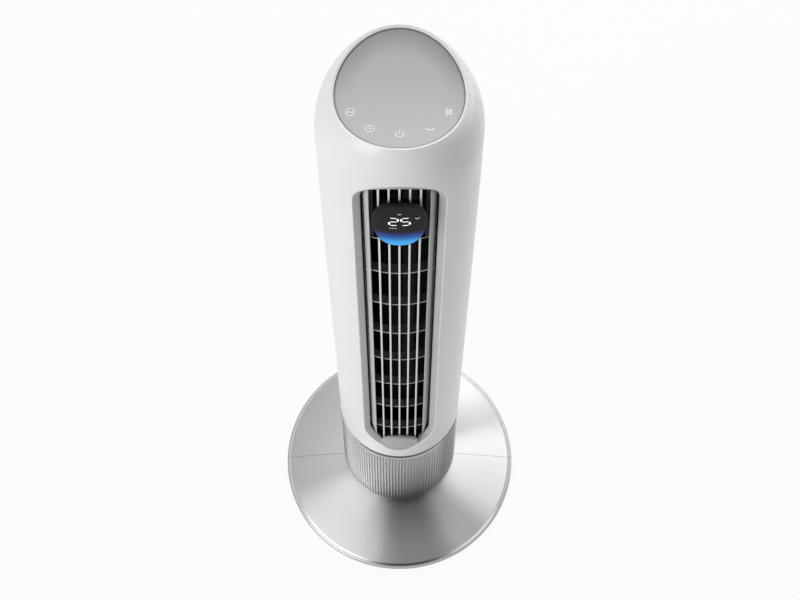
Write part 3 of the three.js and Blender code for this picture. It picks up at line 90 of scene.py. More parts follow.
class Finish:
    """A procedural material, or a world: a node tree with one method that adds any node to it."""

    def __init__(self, name, holder=None):
        self.material = holder or bpy.data.materials.new(name)
        self.material.use_nodes = True
        self.tree = self.material.node_tree
        self.tree.nodes.clear()

    def node(self, kind, settings=None, values=None, output=0):
        """Adds a node: its settings come first, then a number, a colour or a Value in each socket."""
        made = self.tree.nodes.new(kind)
        for key, setting in (settings or {}).items():
            if key == "stops":
                ramp = made.color_ramp.elements
                while len(ramp) < len(setting):
                    ramp.new(0.5)
                for stop, (place, colour) in zip(ramp, setting):
                    stop.position = place
                    stop.color = colour
            else:
                setattr(made, key, setting)
        for key, value in (values or {}).items():
            if isinstance(value, Value):
                self.tree.links.new(value.output, made.inputs[key])
            else:
                made.inputs[key].default_value = value
        return Value(self, made.outputs[output]) if len(made.outputs) else None

    def mix(self, factor, first, second):
        """A colour between two colours, by a factor from 0 to 1."""
        return self.node("ShaderNodeMix", {"data_type": "RGBA"}, {0: factor, 6: first, 7: second}, 2)

    def place(self):
        """The point's place in the row frame, in metres."""
        return self.node("ShaderNodeTexCoord", None, None, "Object")

    def axes(self):
        """That place's east, north and height, as three Values."""
        apart = self.node("ShaderNodeSeparateXYZ", None, {0: self.place()})
        return [Value(self, apart.output.node.outputs[k]) for k in range(3)]

    def noise(self, size, detail=2.0, stretch=(1.0, 1.0, 1.0)):
        """Noise from 0 to 1 with patches of a size in millimetres, drawn out along an axis by stretch."""
        turned_in = self.node("ShaderNodeMapping", None, {"Vector": self.place(), "Scale": stretch})
        return self.node("ShaderNodeTexNoise", None,
                         {"Vector": turned_in, "Scale": 1000.0 / size, "Detail": detail})

    def smooth(self, value, low, high):
        """A smooth step that goes from 0 to 1 while the value goes from low to high."""
        return self.node("ShaderNodeMapRange", {"interpolation_type": "SMOOTHSTEP"},
                         {0: value, 1: low, 2: high})

    def bump(self, height, depth):
        """The surface's direction after a height from 0 to 1 that stands up by a depth in millimetres."""
        return self.node("ShaderNodeBump", None, {"Height": height, "Distance": depth / 1000.0})

    def surface(self, shader):
        """Ends the tree in a shader, and gives the material."""
        self.node("ShaderNodeOutputMaterial", None, {"Surface": shader})
        return self.material

    def principled(self, **values):
        """The material with one Principled shader, whose sockets are named with _ for a space."""
        named = {key.replace("_", " "): value for key, value in values.items()}
        return self.surface(self.node("ShaderNodeBsdfPrincipled", None, named))


def tone(red, green=None, blue=None):
    """A colour from display levels of 0 to 255: c / 12.92 when dark, else ((c + 0.055) / 1.055) ^ 2.4."""
    levels = (red, red if green is None else green, red if blue is None else blue)
    shares = [level / 255.0 for level in levels]
    linear = [c / 12.92 if c <= 0.04045 else ((c + 0.055) / 1.055) ** 2.4 for c in shares]
    return (*linear, 1.0)


def seen_directly(finish):
    """1 for what the camera, a reflection or glass sees, and 0 for light that falls on the object."""
    kinds = ("Is Camera Ray", "Is Glossy Ray", "Is Transmission Ray")
    direct, mirrored, through = [finish.node("ShaderNodeLightPath", None, None, kind) for kind in kinds]
    return (direct + mirrored + through) > 0.5


floor_mesh = bpy.data.meshes.new("studio_floor")
floor_mesh.from_pydata([(-9, -9, 0), (9, -9, 0), (9, 9, 0), (-9, 9, 0)], [], [(0, 1, 2, 3)])
floor = bpy.data.objects.new("studio_floor", floor_mesh)
scene.collection.objects.link(floor)
white_floor = Finish("white_floor")
matt = white_floor.node("ShaderNodeBsdfDiffuse", None, {"Color": tone(225)})
glow = white_floor.node("ShaderNodeEmission", None, {"Color": tone(255), "Strength": 1.0})
shadow_kept = 0.07
share = seen_directly(white_floor) * (1 - shadow_kept)
floor_mesh.materials.append(white_floor.surface(
    white_floor.node("ShaderNodeMixShader", None, {0: share, 1: matt, 2: glow})))

world = bpy.data.worlds.new("white_room")
scene.world = world
room = Finish("white_room", world)
dim_room = room.node("ShaderNodeBackground", None, {"Color": tone(255), "Strength": 0.27})
white_room = room.node("ShaderNodeBackground", None, {"Color": tone(255), "Strength": 1.0})
either = room.node("ShaderNodeMixShader", None, {0: seen_directly(room), 1: dim_room, 2: white_room})
room.node("ShaderNodeOutputWorld", None, {"Surface": either})


def lamp(name, place, aim, width, height, power):
    """A soft rectangular lamp that looks from its place at the fan's axis, at a height of aim metres."""
    light = bpy.data.lights.new(name, "AREA")
    light.shape = "RECTANGLE"
    light.size = width
    light.size_y = height
    light.energy = power
    stand = bpy.data.objects.new(name, light)
    stand.location = place
    x, y, z = place
    stand.rotation_euler = (math.atan2(math.hypot(x, y), z - aim), 0.0, math.atan2(x, -y))
    scene.collection.objects.link(stand)


lamp("left_key", (-2.6, -2.2, 2.2), 0.5, 2.2, 2.2, 76.0)
lamp("right_rim", (2.4, 1.3, 1.1), 0.5, 1.2, 1.8, 14.0)
lamp("rear_high", (0.9, 2.8, 2.5), 0.7, 2.2, 1.5, 52.0)
lamp("over_head", (-0.4, 1.2, 3.4), 0.6, 2.6, 1.6, 12.0)


# ---------- round foot ----------
# Two half rings of brushed aluminium with a rolled bead at the rim, held down on a steel ballast
# plate with four screws. The join between the halves shows as a fine line at the left and right.
HALF_SEAM = 0.15


def rounded(corners, radii, steps=4):
    """A closed outline whose corners are cut back by their radius and bridged by a quadratic curve."""
    outline = []
    count = len(corners)
    for k in range(count):
        here = np.array(corners[k], float)
        before = np.array(corners[k - 1], float) - here
        after = np.array(corners[(k + 1) % count], float) - here
        reach = min(radii[k], np.linalg.norm(before) * 0.49, np.linalg.norm(after) * 0.49)
        if reach <= 0:
            outline.append(here)
            continue
        first = here + before / np.linalg.norm(before) * reach
        last = here + after / np.linalg.norm(after) * reach
        for share in np.linspace(0, 1, steps + 1):
            outline.append((1 - share) ** 2 * first + 2 * share * (1 - share) * here + share ** 2 * last)
    return np.array(outline)


def spots(x, y, z):
    """Points from three arrays, which are stretched to the same rows and columns."""
    return np.stack(np.broadcast_arrays(x, y, z), -1)


def around(radius, angle, level):
    """Points at a radius, an angle round the upright axis and a level."""
    return spots(radius * np.cos(angle), radius * np.sin(angle), level)


def whole_turn(steps):
    """Angles evenly round a circle, without the last, which is the first again."""
    return np.linspace(0, 2 * math.pi, steps, endpoint=False)


def net(points, wrap_rows=False, wrap_columns=False, ends=False):
    """The points of a grid (rows, columns, 3) as one list, with the quads between neighbours. Rows or
    columns may close on themselves, and ends closes the first and last columns with a flat face each."""
    rows, columns = points.shape[:2]
    index = np.arange(rows * columns).reshape(rows, columns)
    down = np.vstack([index, index[:1]]) if wrap_rows else index
    full = np.hstack([down, down[:, :1]]) if wrap_columns else down
    quads = np.stack([full[:-1, :-1], full[1:, :-1], full[1:, 1:], full[:-1, 1:]], -1)
    faces = quads.reshape(-1, 4).tolist()
    if ends:
        faces += [index[:, 0].tolist(), index[::-1, -1].tolist()]
    return points.reshape(-1, 3), faces


def gathered(parts):
    """Several lists of points and faces as one."""
    points, faces, start = [], [], 0
    for more, own in parts:
        points.append(more)
        faces += [[k + start for k in face] for face in own]
        start += len(more)
    return np.vstack(points), faces


def outward_mesh(name, points, faces):
    """A mesh from points in millimetres: equal points are joined, and its faces point outwards."""
    mesh = bpy.data.meshes.new(name)
    mesh.from_pydata((points / 1000.0).tolist(), [], faces)
    skin = bmesh.new()
    skin.from_mesh(mesh)
    bmesh.ops.remove_doubles(skin, verts=skin.verts, dist=2e-7)
    bmesh.ops.recalc_face_normals(skin, faces=skin.faces)
    skin.to_mesh(mesh)
    skin.free()
    return mesh


def lay(name, parts, finish, body, nodes=(), crease=32.0):
    """Makes a piece of one or more nets and keeps edges sharper than the crease, in degrees. The piece
    rides on a body and replaces CAD nodes."""
    mesh = outward_mesh(name, *gathered(parts))
    mesh.shade_smooth()
    mesh.set_sharp_from_angle(angle=math.radians(crease))
    mesh.materials.append(finish)
    piece = bpy.data.objects.new(name, mesh)
    scene.collection.objects.link(piece)
    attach(piece, body)
    if nodes:
        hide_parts(*nodes)
    return piece


def turned(profile, steps=160, x=0.0, y=0.0):
    """A closed profile of (radius, height) points turned round an upright axis. A profile that starts
    and ends on the axis closes there."""
    return net(around(profile[:, 0, None], whole_turn(steps), profile[:, 1, None]) + [x, y, 0], True, True)


def half_turned(profile, side, steps=120):
    """A closed profile turned through a half ring on one side of y = 0, cut flat at half the seam."""
    radius = profile[:, 0, None]
    short = np.arcsin(HALF_SEAM / radius)
    share = np.linspace(0, 1, steps + 1)
    angle = side * (short + share * (math.pi - 2 * short))
    return net(around(radius, angle, profile[:, 1, None]), True, False, True)


def painted_reflection_grey(finish, east, north, radius, level, painted_reflection_wedges):
    """A grey with a few soft light and dark wedges round the axis, painted reflections and highlights, each
    of (middle, half width, level), in degrees from the right. A wedge fades by a smooth step of the cosine
    of the angle from its middle."""
    grey = tone(level)
    for middle, half, own in painted_reflection_wedges:
        across = east * math.cos(math.radians(middle)) + north * math.sin(math.radians(middle))
        share = finish.smooth(across / radius, math.cos(math.radians(half)), 1.0)
        grey = finish.mix(share, grey, tone(own))
    return grey


# Metal brushed in rings shows light and dark wedges, which run out from the axis, and its rim shows them
# the other way round. Here they are painted reflections and highlights in the foot's colour, as a few soft
# steps fixed to the foot that don't follow the lamps, with painted shade in front of the collar. Fine noise
# on the distance from the axis gives the brushing's lines.
metal = Finish("brushed_aluminium_foot")
east, north, up = metal.axes()
radius = (east * east + north * north) ** 0.5
turn = metal.node("ShaderNodeMath", {"operation": "ARCTAN2"}, {0: north, 1: east})
# Painted reflections and highlights: light and dark wedges round the axis, in the foot's colour.
painted_reflection_wedges = painted_reflection_grey(metal, east, north, radius, 165,
                     [(350, 35, 215), (230, 35, 205), (280, 25, 125), (45, 30, 150)])
# Painted reflections on the rim, with a dark crescent at the front.
painted_rim_reflections = painted_reflection_grey(metal, east, north, radius, 165,
                         [(235, 30, 225), (315, 20, 210), (275, 25, 70), (30, 30, 155)])
# Painted shade: the foot darkens towards 60 close to the collar, at the front.
toward = (east * 0.139 - north * 0.99) / radius
painted_collar_shade = metal.smooth(toward, 0.75, 1.0) * metal.smooth(radius, 0.14, 0.07) * 0.5
on_rim = metal.smooth(radius, 0.1486, 0.1493)
outside = metal.smooth(radius, 0.1515, 0.1532)
painted_reflection_wedges = metal.mix(painted_collar_shade, painted_reflection_wedges, tone(60))
painted_reflection_wedges = metal.mix(on_rim, painted_reflection_wedges, metal.mix(outside, painted_rim_reflections, tone(168)))
line = metal.node("ShaderNodeCombineXYZ", None, {0: radius * 1000.0, 1: turn * 1.5, 2: up * 300.0})
fine = metal.node("ShaderNodeTexNoise", None, {"Vector": line, "Scale": 3.0, "Detail": 2.0})
brushed_foot = metal.principled(Base_Color=metal.mix(fine * 0.12, painted_reflection_wedges, tone(120)), Metallic=1.0,
                                Roughness=0.34 + fine * 0.06, Normal=metal.bump(fine, 0.002))
foot_outline = rounded(
    [(46, 31), (64, 31), (149.3, 10.7), (149.8, 10.1), (153.2, 9.9), (155, 8.2), (155, 5), (153, 3),
     (143.3, 3), (143.3, 5), (136, 5), (136, 10.9), (64, 28), (46, 28)],
    [0, 0, 0.4, 0.3, 0.8, 0.9, 0.6, 0.4, 0, 0, 0, 0, 0, 0])
for name, side in (("front", -1), ("rear", 1)):
    lay(f"base_{name}_skin", [half_turned(foot_outline, side)], brushed_foot, "base",
        [f"base_{name}_half"], 25)


# ---------- ballast plate, foot pads and fasteners ----------
# A zinc-plated steel disc closes the foot from below. Six rubber pads stand on the floor, and pan
# head screws with a cross recess hold the halves, the collar, the deck and the shell.
def zinc(name, level, size):
    """Plated steel: soft grey clouds of a size in millimetres, rougher where they are darker."""
    steel = Finish(name)
    cloud = steel.noise(size, 4.0)
    scratch = steel.noise(0.5, 2.0, (1.0, 0.15, 1.0))
    return steel.principled(Base_Color=steel.mix(cloud, tone(level - 26), tone(level)), Metallic=1.0,
                            Roughness=0.3 + cloud * 0.16, Normal=steel.bump(scratch, 0.01))


plated_steel = zinc("zinc_plated_steel", 196, 14)
rubber = Finish("black_rubber")
rubber_grain = rubber.noise(0.7, 3.0)
black_rubber = rubber.principled(Base_Color=rubber.mix(rubber_grain, tone(32), tone(48)),
                                 Roughness=0.62 + rubber_grain * 0.2,
                                 Normal=rubber.bump(rubber_grain, 0.03))
plate_outline = rounded([(0, 3), (143, 3), (143, 5), (0, 5)], [0, 0.5, 0.3, 0], 3)
lay("base_plate_skin", [turned(plate_outline, 180)], plated_steel, "base", ["base_plate"])
pad_outline = rounded([(0, 0), (8.6, 0), (9, 3), (0, 3)], [0, 0.9, 0.3, 0], 4)
PAD_CIRCLE = 128
for k in range(6):
    angle = math.radians(30 + 60 * k)
    pad = turned(pad_outline, 40, PAD_CIRCLE * math.cos(angle), PAD_CIRCLE * math.sin(angle))
    lay(f"foot_pad_skin_{k + 1}", [pad], black_rubber, "base", [f"foot_pad_{k + 1}"])


def dressed(names, finish):
    """Gives CAD nodes that stay as they are their material."""
    for name in names:
        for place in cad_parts[name].material_slots:
            place.material = finish


screw_steel = zinc("screw_steel", 182, 3)
for part, count in (("base", 4), ("collar", 3), ("deck", 3), ("shell", 4)):
    dressed([f"{part}_screw_{k + 1}" for k in range(count)], screw_steel)


# ---------- ribbed collar ----------
# A cast collar with 116 upright reeds that run from its bowl-shaped foot to a plain band under the
# shell. It is plated satin metal, and stands on the foot with three screws from inside.
REEDS = 116
REED_SWEEP, REED_HALF, REED_DEPTH = 0.96, 0.46, 1.1
collar_levels = np.concatenate([31 + 29 * np.linspace(0, 1, 15) ** 1.6, np.linspace(80, 222, 7)])


def collar_radius(level):
    """A quarter ellipse from radius 54 at 31, which would reach 73.8 at 76 but stops at 60, and above
    it a straight taper from 74.3 to 72.5 at 229."""
    left = np.clip((76 - level) / 45, 0, 1)
    bowl = 54 + 19.8 * np.sqrt(1 - left ** 2)
    return np.where(level < 60, bowl, 74.3 - 1.8 * (level - 60) / 169)


def reeded(level, steps=9):
    """Each reed is a low arc across its pitch: it falls by 1 - sqrt(1 - (0.96 u)^2) towards its sides,
    as a share of the reed's depth, and is shallower at the collar's foot."""
    count = REEDS * steps
    across = (np.arange(count) % steps - (steps - 1) / 2) / ((steps - 1) / 2)
    fall = (1 - np.sqrt(1 - (REED_SWEEP * across) ** 2)) / (1 - math.sqrt(1 - REED_SWEEP ** 2))
    angle = (np.arange(count) // steps + 0.5 + across * REED_HALF) * 2 * math.pi / REEDS
    depth = REED_DEPTH * np.clip((level - 30) / 8, 0.35, 1)
    return around(collar_radius(level)[:, None] - depth[:, None] * fall, angle, level[:, None])


def collar_rings(radii, levels):
    """Plain rings at the reeds' angles, for the band, the rim and the bore."""
    reed_row = reeded(np.array([100.0]))[0]
    angle = np.arctan2(reed_row[:, 1], reed_row[:, 0])
    return around(np.array(radii, float)[:, None], angle, np.array(levels, float)[:, None])


band = collar_rings([71.2, 72.3, 72.5, 72.5, 72.2, 71.5, 69.0, 69.0, 64, 64, 69, 69, 58, 46, 46],
                    [222.1, 222.5, 223, 226.4, 227, 227.3, 227.3, 200, 200, 192, 187, 63, 34, 34, 31])
satin_collar = Finish("satin_collar")
collar_cloud = satin_collar.noise(9, 3.0, (1.0, 1.0, 0.3))
collar_line = satin_collar.noise(0.35, 2.0, (1.0, 1.0, 0.05))
east, north, up = satin_collar.axes()
radius = (east * east + north * north) ** 0.5
# Painted reflections and highlights: light and dark wedges round the collar, in its colour.
painted_collar_reflections = painted_reflection_grey(satin_collar, east, north, radius, 180,
                            [(0, 25, 205), (220, 25, 190), (180, 25, 160), (330, 20, 135)])
# Painted shade: the collar's foot darkens towards 70 at the front, added to its faint random clouds.
collar_front = satin_collar.smooth((east * 0.2 - north) / radius, 0.75, 1.0)
painted_low_front_shade = satin_collar.smooth(up, 0.13, 0.05) * collar_front
painted_shade_and_cloud = painted_low_front_shade * 0.62 + collar_cloud * 0.1
satin_metal = satin_collar.principled(
    Base_Color=satin_collar.mix(painted_shade_and_cloud, painted_collar_reflections, tone(70)), Metallic=1.0,
    Roughness=0.3 + collar_cloud * 0.1, Normal=satin_collar.bump(collar_line, 0.01))
collar = lay("ribbed_collar_skin", [net(np.vstack([reeded(collar_levels), band]), True, True)],
             satin_metal, "base", ["ribbed_collar"], 40)


def around_y(x, z, radius, angle, north):
    """Points at a radius and an angle round an axis that runs along Y, at a distance north."""
    return spots(x + radius * np.cos(angle), north, z + radius * np.sin(angle))


def plug(outlines):
    """A solid between two equal outlines (2, points, 3): a net round them and a flat face at each end."""
    points, faces = net(outlines, False, True)
    count = outlines.shape[1]
    return points, faces + [list(range(count)), list(range(2 * count - 1, count - 1, -1))]


def drilled(piece, cutters):
    """Cuts round holes through a piece. Each is (x, z, radius, from y, to y), drilled along Y."""
    for x, z, radius, low, high in cutters:
        bore = around_y(x, z, radius, whole_turn(32), np.array([[low], [high]], float))
        tool = bpy.data.objects.new("drill", outward_mesh("drill", *plug(bore)))
        scene.collection.objects.link(tool)
        change = piece.modifiers.new("hole", "BOOLEAN")
        change.operation = "DIFFERENCE"
        change.solver = "EXACT"
        change.object = tool
        bpy.context.view_layer.update()
        seen = piece.evaluated_get(bpy.context.evaluated_depsgraph_get())
        bored = bpy.data.meshes.new_from_object(seen)
        piece.modifiers.clear()
        piece.data = bored
        bpy.data.objects.remove(tool)


GLAND_LEVEL = 75
drilled(collar, [(0, GLAND_LEVEL, 6.5, 40, 90)])
gland_low, gland_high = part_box("cord_gland")
gland_inner, gland_outer = gland_low[1] * 1000, gland_high[1] * 1000
gland_outline = rounded(
    [(4, gland_inner), (8.6, gland_inner), (8.6, gland_inner + 2), (6.2, gland_inner + 2),
     (6.2, gland_outer - 2), (8.6, gland_outer - 2), (7.6, gland_outer), (4, gland_outer)],
    [0.3, 0.3, 0, 0, 0, 0.3, 0.6, 0.8], 3)
gland = around_y(0, GLAND_LEVEL, gland_outline[:, 0, None], whole_turn(48), gland_outline[:, 1, None])
lay("cord_gland_skin", [net(gland, True, True)], black_rubber, "base", ["cord_gland"])


# ---------- swivel drive ----------
# Inside the collar a moulded deck carries the geared motor, whose pinion turns the ring gear under
# the turntable. The tower runs on a slippery glide ring and is held down by a retaining ring.
def moulded(name, level, roughness=0.42, grain_size=0.9, depth=0.012, coat=0.0, shine=0.5):
    """Moulded plastic: a fine spark-eroded grain, and clouds that change its shade a little."""
    plastic = Finish(name)
    grain = plastic.noise(grain_size, 2.0)
    cloud = plastic.noise(60, 2.0)
    colours = np.atleast_1d(level)
    dark, pale = tone(*(colours - 4)), tone(*(colours + 3))
    return plastic.principled(Base_Color=plastic.mix(cloud * 0.7 + grain * 0.3, dark, pale),
                              Roughness=roughness + grain * 0.1, Coat_Weight=coat,
                              Specular_IOR_Level=shine, Normal=plastic.bump(grain, depth))


dark_plastic = moulded("dark_moulded_plastic", 52)
white_nylon = moulded("white_nylon", (226, 224, 216), 0.38)
motor_metal = zinc("motor_can_steel", 176, 22)
dressed(["swivel_deck", "turntable", "supply_box"], dark_plastic)
dressed(["glide_ring", "gear_ring", "oscillation_pinion"], white_nylon)
dressed(["oscillation_motor", "fan_motor"], motor_metal)
dressed(["retaining_ring"], plated_steel)
dressed(["base_lead", "tower_lead"], black_rubber)


# ---------- white shell ----------
# Two half shells of glossy white plastic, screwed together from behind. The front one has the outlet
# and the round seat of the scent capsule, the rear one a tall window for the intake grille.
SHELL_FOOT, SHELL_HEIGHT, WALL, CHAMFER = 237.0, 686.5, 2.5, 1.3
PANEL_EDGE, RIM_INNER = 53.4, 51.4
RIM_TURN = math.radians(70)
SHOULDER_POWER = 2 / 2.3


def shell_radius(level):
    """72.4 at the foot, 2.9 less at the head on a straight taper, and a tuck of 1.3 r^6 near the head."""
    rise = np.clip((level - SHELL_FOOT) / SHELL_HEIGHT, 0, None)
    return 72.4 - 2.9 * rise - 1.3 * rise ** 6


def panel_height(y):
    """The panel's edge: 5.6 higher at the rear edge than on the axis, with a scoop of 11.2 (y/r)^2."""
    along = y / PANEL_EDGE
    return 923.5 + 5.6 * along + 11.2 * along ** 2


def shoulder(angle):
    """Where the shoulder starts and ends at an angle: it drops 52 + 20 s^2 below the panel's rim."""
    sine = np.sin(angle)
    top = panel_height(PANEL_EDGE * sine)
    return top - (52 + 20 * sine ** 2), top


def shell_point(angle, climb, wall=0.0, roof=0.0):
    """The shell's form, drawn in by a wall. Climb 0 to 1 goes from the foot up to the shoulder, and
    1 to 2 over the shoulder on a superellipse of power 2.3, which meets the panel's rim at an angle."""
    start, top = shoulder(angle)
    turn = np.clip(climb - 1, 0, 1) * RIM_TURN
    rest = math.cos(RIM_TURN) ** SHOULDER_POWER
    across = (np.cos(turn) ** SHOULDER_POWER - rest) / (1 - rest)
    up = (np.sin(turn) / math.sin(RIM_TURN)) ** SHOULDER_POWER
    level = np.where(climb < 1, SHELL_FOOT + (start - SHELL_FOOT) * climb,
                     start + (top - roof - start) * up)
    edge = PANEL_EDGE - wall
    radius = np.where(climb < 1, shell_radius(level) - wall,
                      edge + (shell_radius(start) - wall - edge) * across)
    return around(radius, angle, level)


def climb_of(angle, level):
    """The climb at which the shell's form reaches a level at an angle."""
    start, top = shoulder(angle)
    up = np.clip((level - start) / (top - start), 0, 1)
    return np.where(level < start, (level - SHELL_FOOT) / (start - SHELL_FOOT),
                    1 + np.arcsin(up ** (1 / SHOULDER_POWER) * math.sin(RIM_TURN)) / RIM_TURN)


def evenly(points, count):
    """Points at equal distances along a line, both ends kept."""
    points = np.array(points, float)
    gone = np.concatenate([[0], np.cumsum(np.linalg.norm(np.diff(points, axis=0), axis=1))])
    wanted = np.linspace(0, gone[-1], count)
    return np.stack([np.interp(wanted, gone, points[:, k]) for k in range(points.shape[1])], -1)


def panel_ring(radius, turn, drop):
    """A ring round the axis at a drop below the surface that carries the panel's edge on."""
    y = radius * np.sin(turn)
    return spots(radius * np.cos(turn), y, panel_height(y) - drop)


def once_round(lines):
    """The foot, right, top and left lines of a loop, without the points that two of them share."""
    foot, right, top, left = lines
    return [foot[:-1], right[:-1], top, left[1:-1]]


SHELL_SEAM, ROOF, LIP_INNER = 0.0022, 6.8, 43.0


def half_shell(side, opening, counts):
    """One half of the shell: a grid from its opening's edge out to its border, through the wall there,
    and back inside to the opening. The opening is four lines of (x, z), matched to the border's foot,
    right, top and left sides. On the top border the wall carries the lip and the panel's ledge."""
    foot_count, side_count, top_count = counts
    left = math.pi - side * SHELL_SEAM
    right = SHELL_SEAM if side > 0 else 2 * math.pi - SHELL_SEAM
    straight = side_count * 6 // 10
    rise = np.concatenate([np.linspace(0, 1, straight)[:-1], np.linspace(1, 2, side_count - straight + 1)])
    lines = [(np.linspace(left, right, foot_count), 0.0), (right, rise),
             (np.linspace(right, left, top_count), 2.0), (left, rise[::-1])]
    border = once_round([np.stack(np.broadcast_arrays(*line), -1) for line in lines])
    kinds = np.concatenate([np.full(len(part), k) for k, part in enumerate(border)])
    border = np.vstack(border)
    counts = (foot_count, side_count, top_count, side_count)
    hole = np.vstack(once_round([evenly(line, count) for line, count in zip(opening, counts)]))
    depth = np.sqrt(shell_radius(hole[:, 1]) ** 2 - hole[:, 0] ** 2)
    turn = np.arctan2(side * depth, hole[:, 0])
    turn = np.where(turn < 0, turn + 2 * math.pi, turn)
    inner_edge = np.stack([turn, climb_of(turn, hole[:, 1])], -1)
    on_top = (kinds == 2)[:, None]
    on_foot = (kinds == 0)[:, None]

    def row(share, wall, roof):
        spot = inner_edge + (border - inner_edge) * share
        return shell_point(spot[:, 0], spot[:, 1], wall, roof)

    reach = np.where(on_foot, 0.94, np.where(on_top, 0.998, 0.995))
    rows = [row(0.0, 0.9, 0.0), row(0.001, 0.4, 0.0), row(0.0035, 0.1, 0.0), row(0.009, 0.0, 0.0)]
    rows += [row(share * reach, 0.0, 0.0) for share in np.linspace(0.02, 1.0, 45)]
    edge = row(1.0, 0.0, 0.0)
    inside = row(1.0, WALL, ROOF)
    rows.append(edge + on_foot * np.array([0, 0, CHAMFER]))
    lip_steps = [(PANEL_EDGE - 0.3, 0.0), (RIM_INNER + 0.3, 0.0), (RIM_INNER + 0.08, 0.1),
                 (RIM_INNER, 0.5), (RIM_INNER, 4.3), (LIP_INNER, 4.3), (LIP_INNER, ROOF)]
    foot_steps = [0.5, 0.6, 0.7, 0.8, 0.88, 0.93, 0.97]
    side_steps = [0.06, 0.2, 0.35, 0.5, 0.65, 0.8, 0.9]
    for (radius, drop), foot_share, side_share in zip(lip_steps, foot_steps, side_steps):
        cut = edge + (inside - edge) * np.where(on_foot, foot_share, side_share)
        rows.append(np.where(on_top, panel_ring(radius, border[:, 0], drop), cut))
    rows.append(inside)
    rows += [row(share, WALL, ROOF) for share in (*np.linspace(0.95, 0.05, 12), 0.0)]
    return net(np.array(rows), True, True)


def arc(x, y, radius, start=0.0, end=360.0, steps=36):
    """Points of a flat circle between two angles in degrees. A whole circle stops short of its start."""
    turn = np.radians(np.linspace(start, end, steps, endpoint=end - start < 360))
    return np.stack([x + radius * np.cos(turn), y + radius * np.sin(turn)], -1)


HEAD_ARC, FOOT_ARC, OUTLET_HALF = 856.5, 307.0, 38.3
SCENT_LEVEL, SEAT_RADIUS = 283.0, 22.0


def spread(level):
    """The outlet and its bars widen by 6.6 percent from the head's arc down to the foot's."""
    return 1 + 0.066 * (HEAD_ARC - level) / (HEAD_ARC - FOOT_ARC)


OUTLET_POINTS = 420


def outlet_path(inset, count=OUTLET_POINTS):
    """The outlet's outline drawn in by an inset, from the capsule's seat at the right, up, over the
    head's half circle and down to the seat at the left. The seat's circle cuts off the foot's arc."""
    half = OUTLET_HALF - inset
    right = np.vstack([arc(0, FOOT_ARC, half, -90, 0, 160), arc(0, HEAD_ARC, half, 0, 90, 90)])
    right[:, 0] *= spread(right[:, 1])
    beyond = np.hypot(right[:, 0], right[:, 1] - SCENT_LEVEL) - SEAT_RADIUS
    first = int(np.argmax(beyond > 0))
    share = -beyond[first - 1] / (beyond[first] - beyond[first - 1])
    meeting = right[first - 1] + (right[first] - right[first - 1]) * share
    right = np.vstack([meeting, right[first:]])
    return evenly(np.vstack([right, right[::-1] * [-1, 1]]), count)


outer_path = outlet_path(0.0)
head_angle = np.arctan2(outer_path[:, 1] - HEAD_ARC, outer_path[:, 0])
corner_at = int(np.argmin(np.abs(head_angle - math.radians(45))))
seat_angle = math.degrees(math.atan2(outer_path[0, 1] - SCENT_LEVEL, outer_path[0, 0]))
front_opening = [arc(0, SCENT_LEVEL, SEAT_RADIUS, -180 - seat_angle, seat_angle, 90),
                 outer_path[:corner_at + 1], outer_path[corner_at:OUTLET_POINTS - corner_at],
                 outer_path[OUTLET_POINTS - 1 - corner_at:]]
glossy_white = moulded("glossy_white_shell", 243, 0.32, 1.4, 0.003, 0.1)
lay("front_shell_skin", [half_shell(-1, front_opening, (90, 220, 90))], glossy_white, "tower",
    ["front_shell"], 40)

WINDOW_HALF, WINDOW_FOOT, WINDOW_TOP, WINDOW_CORNER = 53.0, 288.0, 861.5, 14.0


def window_corner(inset, right, top):
    """A quarter circle at one corner of the intake window, from its side to its head or foot."""
    out, up = (1 if right else -1), (1 if top else -1)
    radius = WINDOW_CORNER - inset
    level = (WINDOW_TOP - inset if top else WINDOW_FOOT + inset) - up * radius
    turn = np.radians(np.linspace(0, 90, 17))
    return np.stack([out * (WINDOW_HALF - WINDOW_CORNER + radius * np.cos(turn)),
                     level + up * radius * np.sin(turn)], -1)


low_left, low_right = window_corner(0, False, False), window_corner(0, True, False)
top_right, top_left = window_corner(0, True, True), window_corner(0, False, True)
rear_opening = [np.vstack(halves) for halves in (
    (low_left[8:], low_right[:7:-1]), (low_right[8::-1], top_right[:9]),
    (top_right[8:], top_left[:7:-1]), (top_left[8::-1], low_left[:9]))]
rear_skin = lay("rear_shell_skin", [half_shell(1, rear_opening, (70, 200, 70))], glossy_white, "tower",
                ["rear_shell"], 40)
WELLS = [(-58, 264), (58, 264), (-54, 877), (54, 877)]
WELL_RADIUS = 3.0
drilled(rear_skin, [(x, z, WELL_RADIUS, 10, 80) for x, z in WELLS])


def screw_well(x, z):
    """The tube round a sunk screw: it starts at the screw's seat and ends just inside the shell's skin."""
    tube = around_y(x, z, WELL_RADIUS + np.array([0, 1, 1, 0])[:, None], whole_turn(32), 8.0)
    tube[2:, :, 1] = np.sqrt(np.clip((shell_radius(z) - 1.2) ** 2 - tube[2:, :, 0] ** 2, 100, None))
    return net(tube, True, True)


lay("screw_wells", [screw_well(x, z) for x, z in WELLS], glossy_white, "tower")


# ---------- intake grille ----------
# A separate white grille clips into the rear window: a frame, ten columns of slots between upright
# slats, and three cross bridges. The slats follow the shell's taper.
def window_line(inset, count=400):
    """The intake window's closed outline, drawn in by an inset."""
    line = np.vstack([window_corner(inset, True, False)[::-1], window_corner(inset, True, True),
                      window_corner(inset, False, True)[::-1], window_corner(inset, False, False)])
    return evenly(np.vstack([line, line[:1]]), count + 1)[:-1]


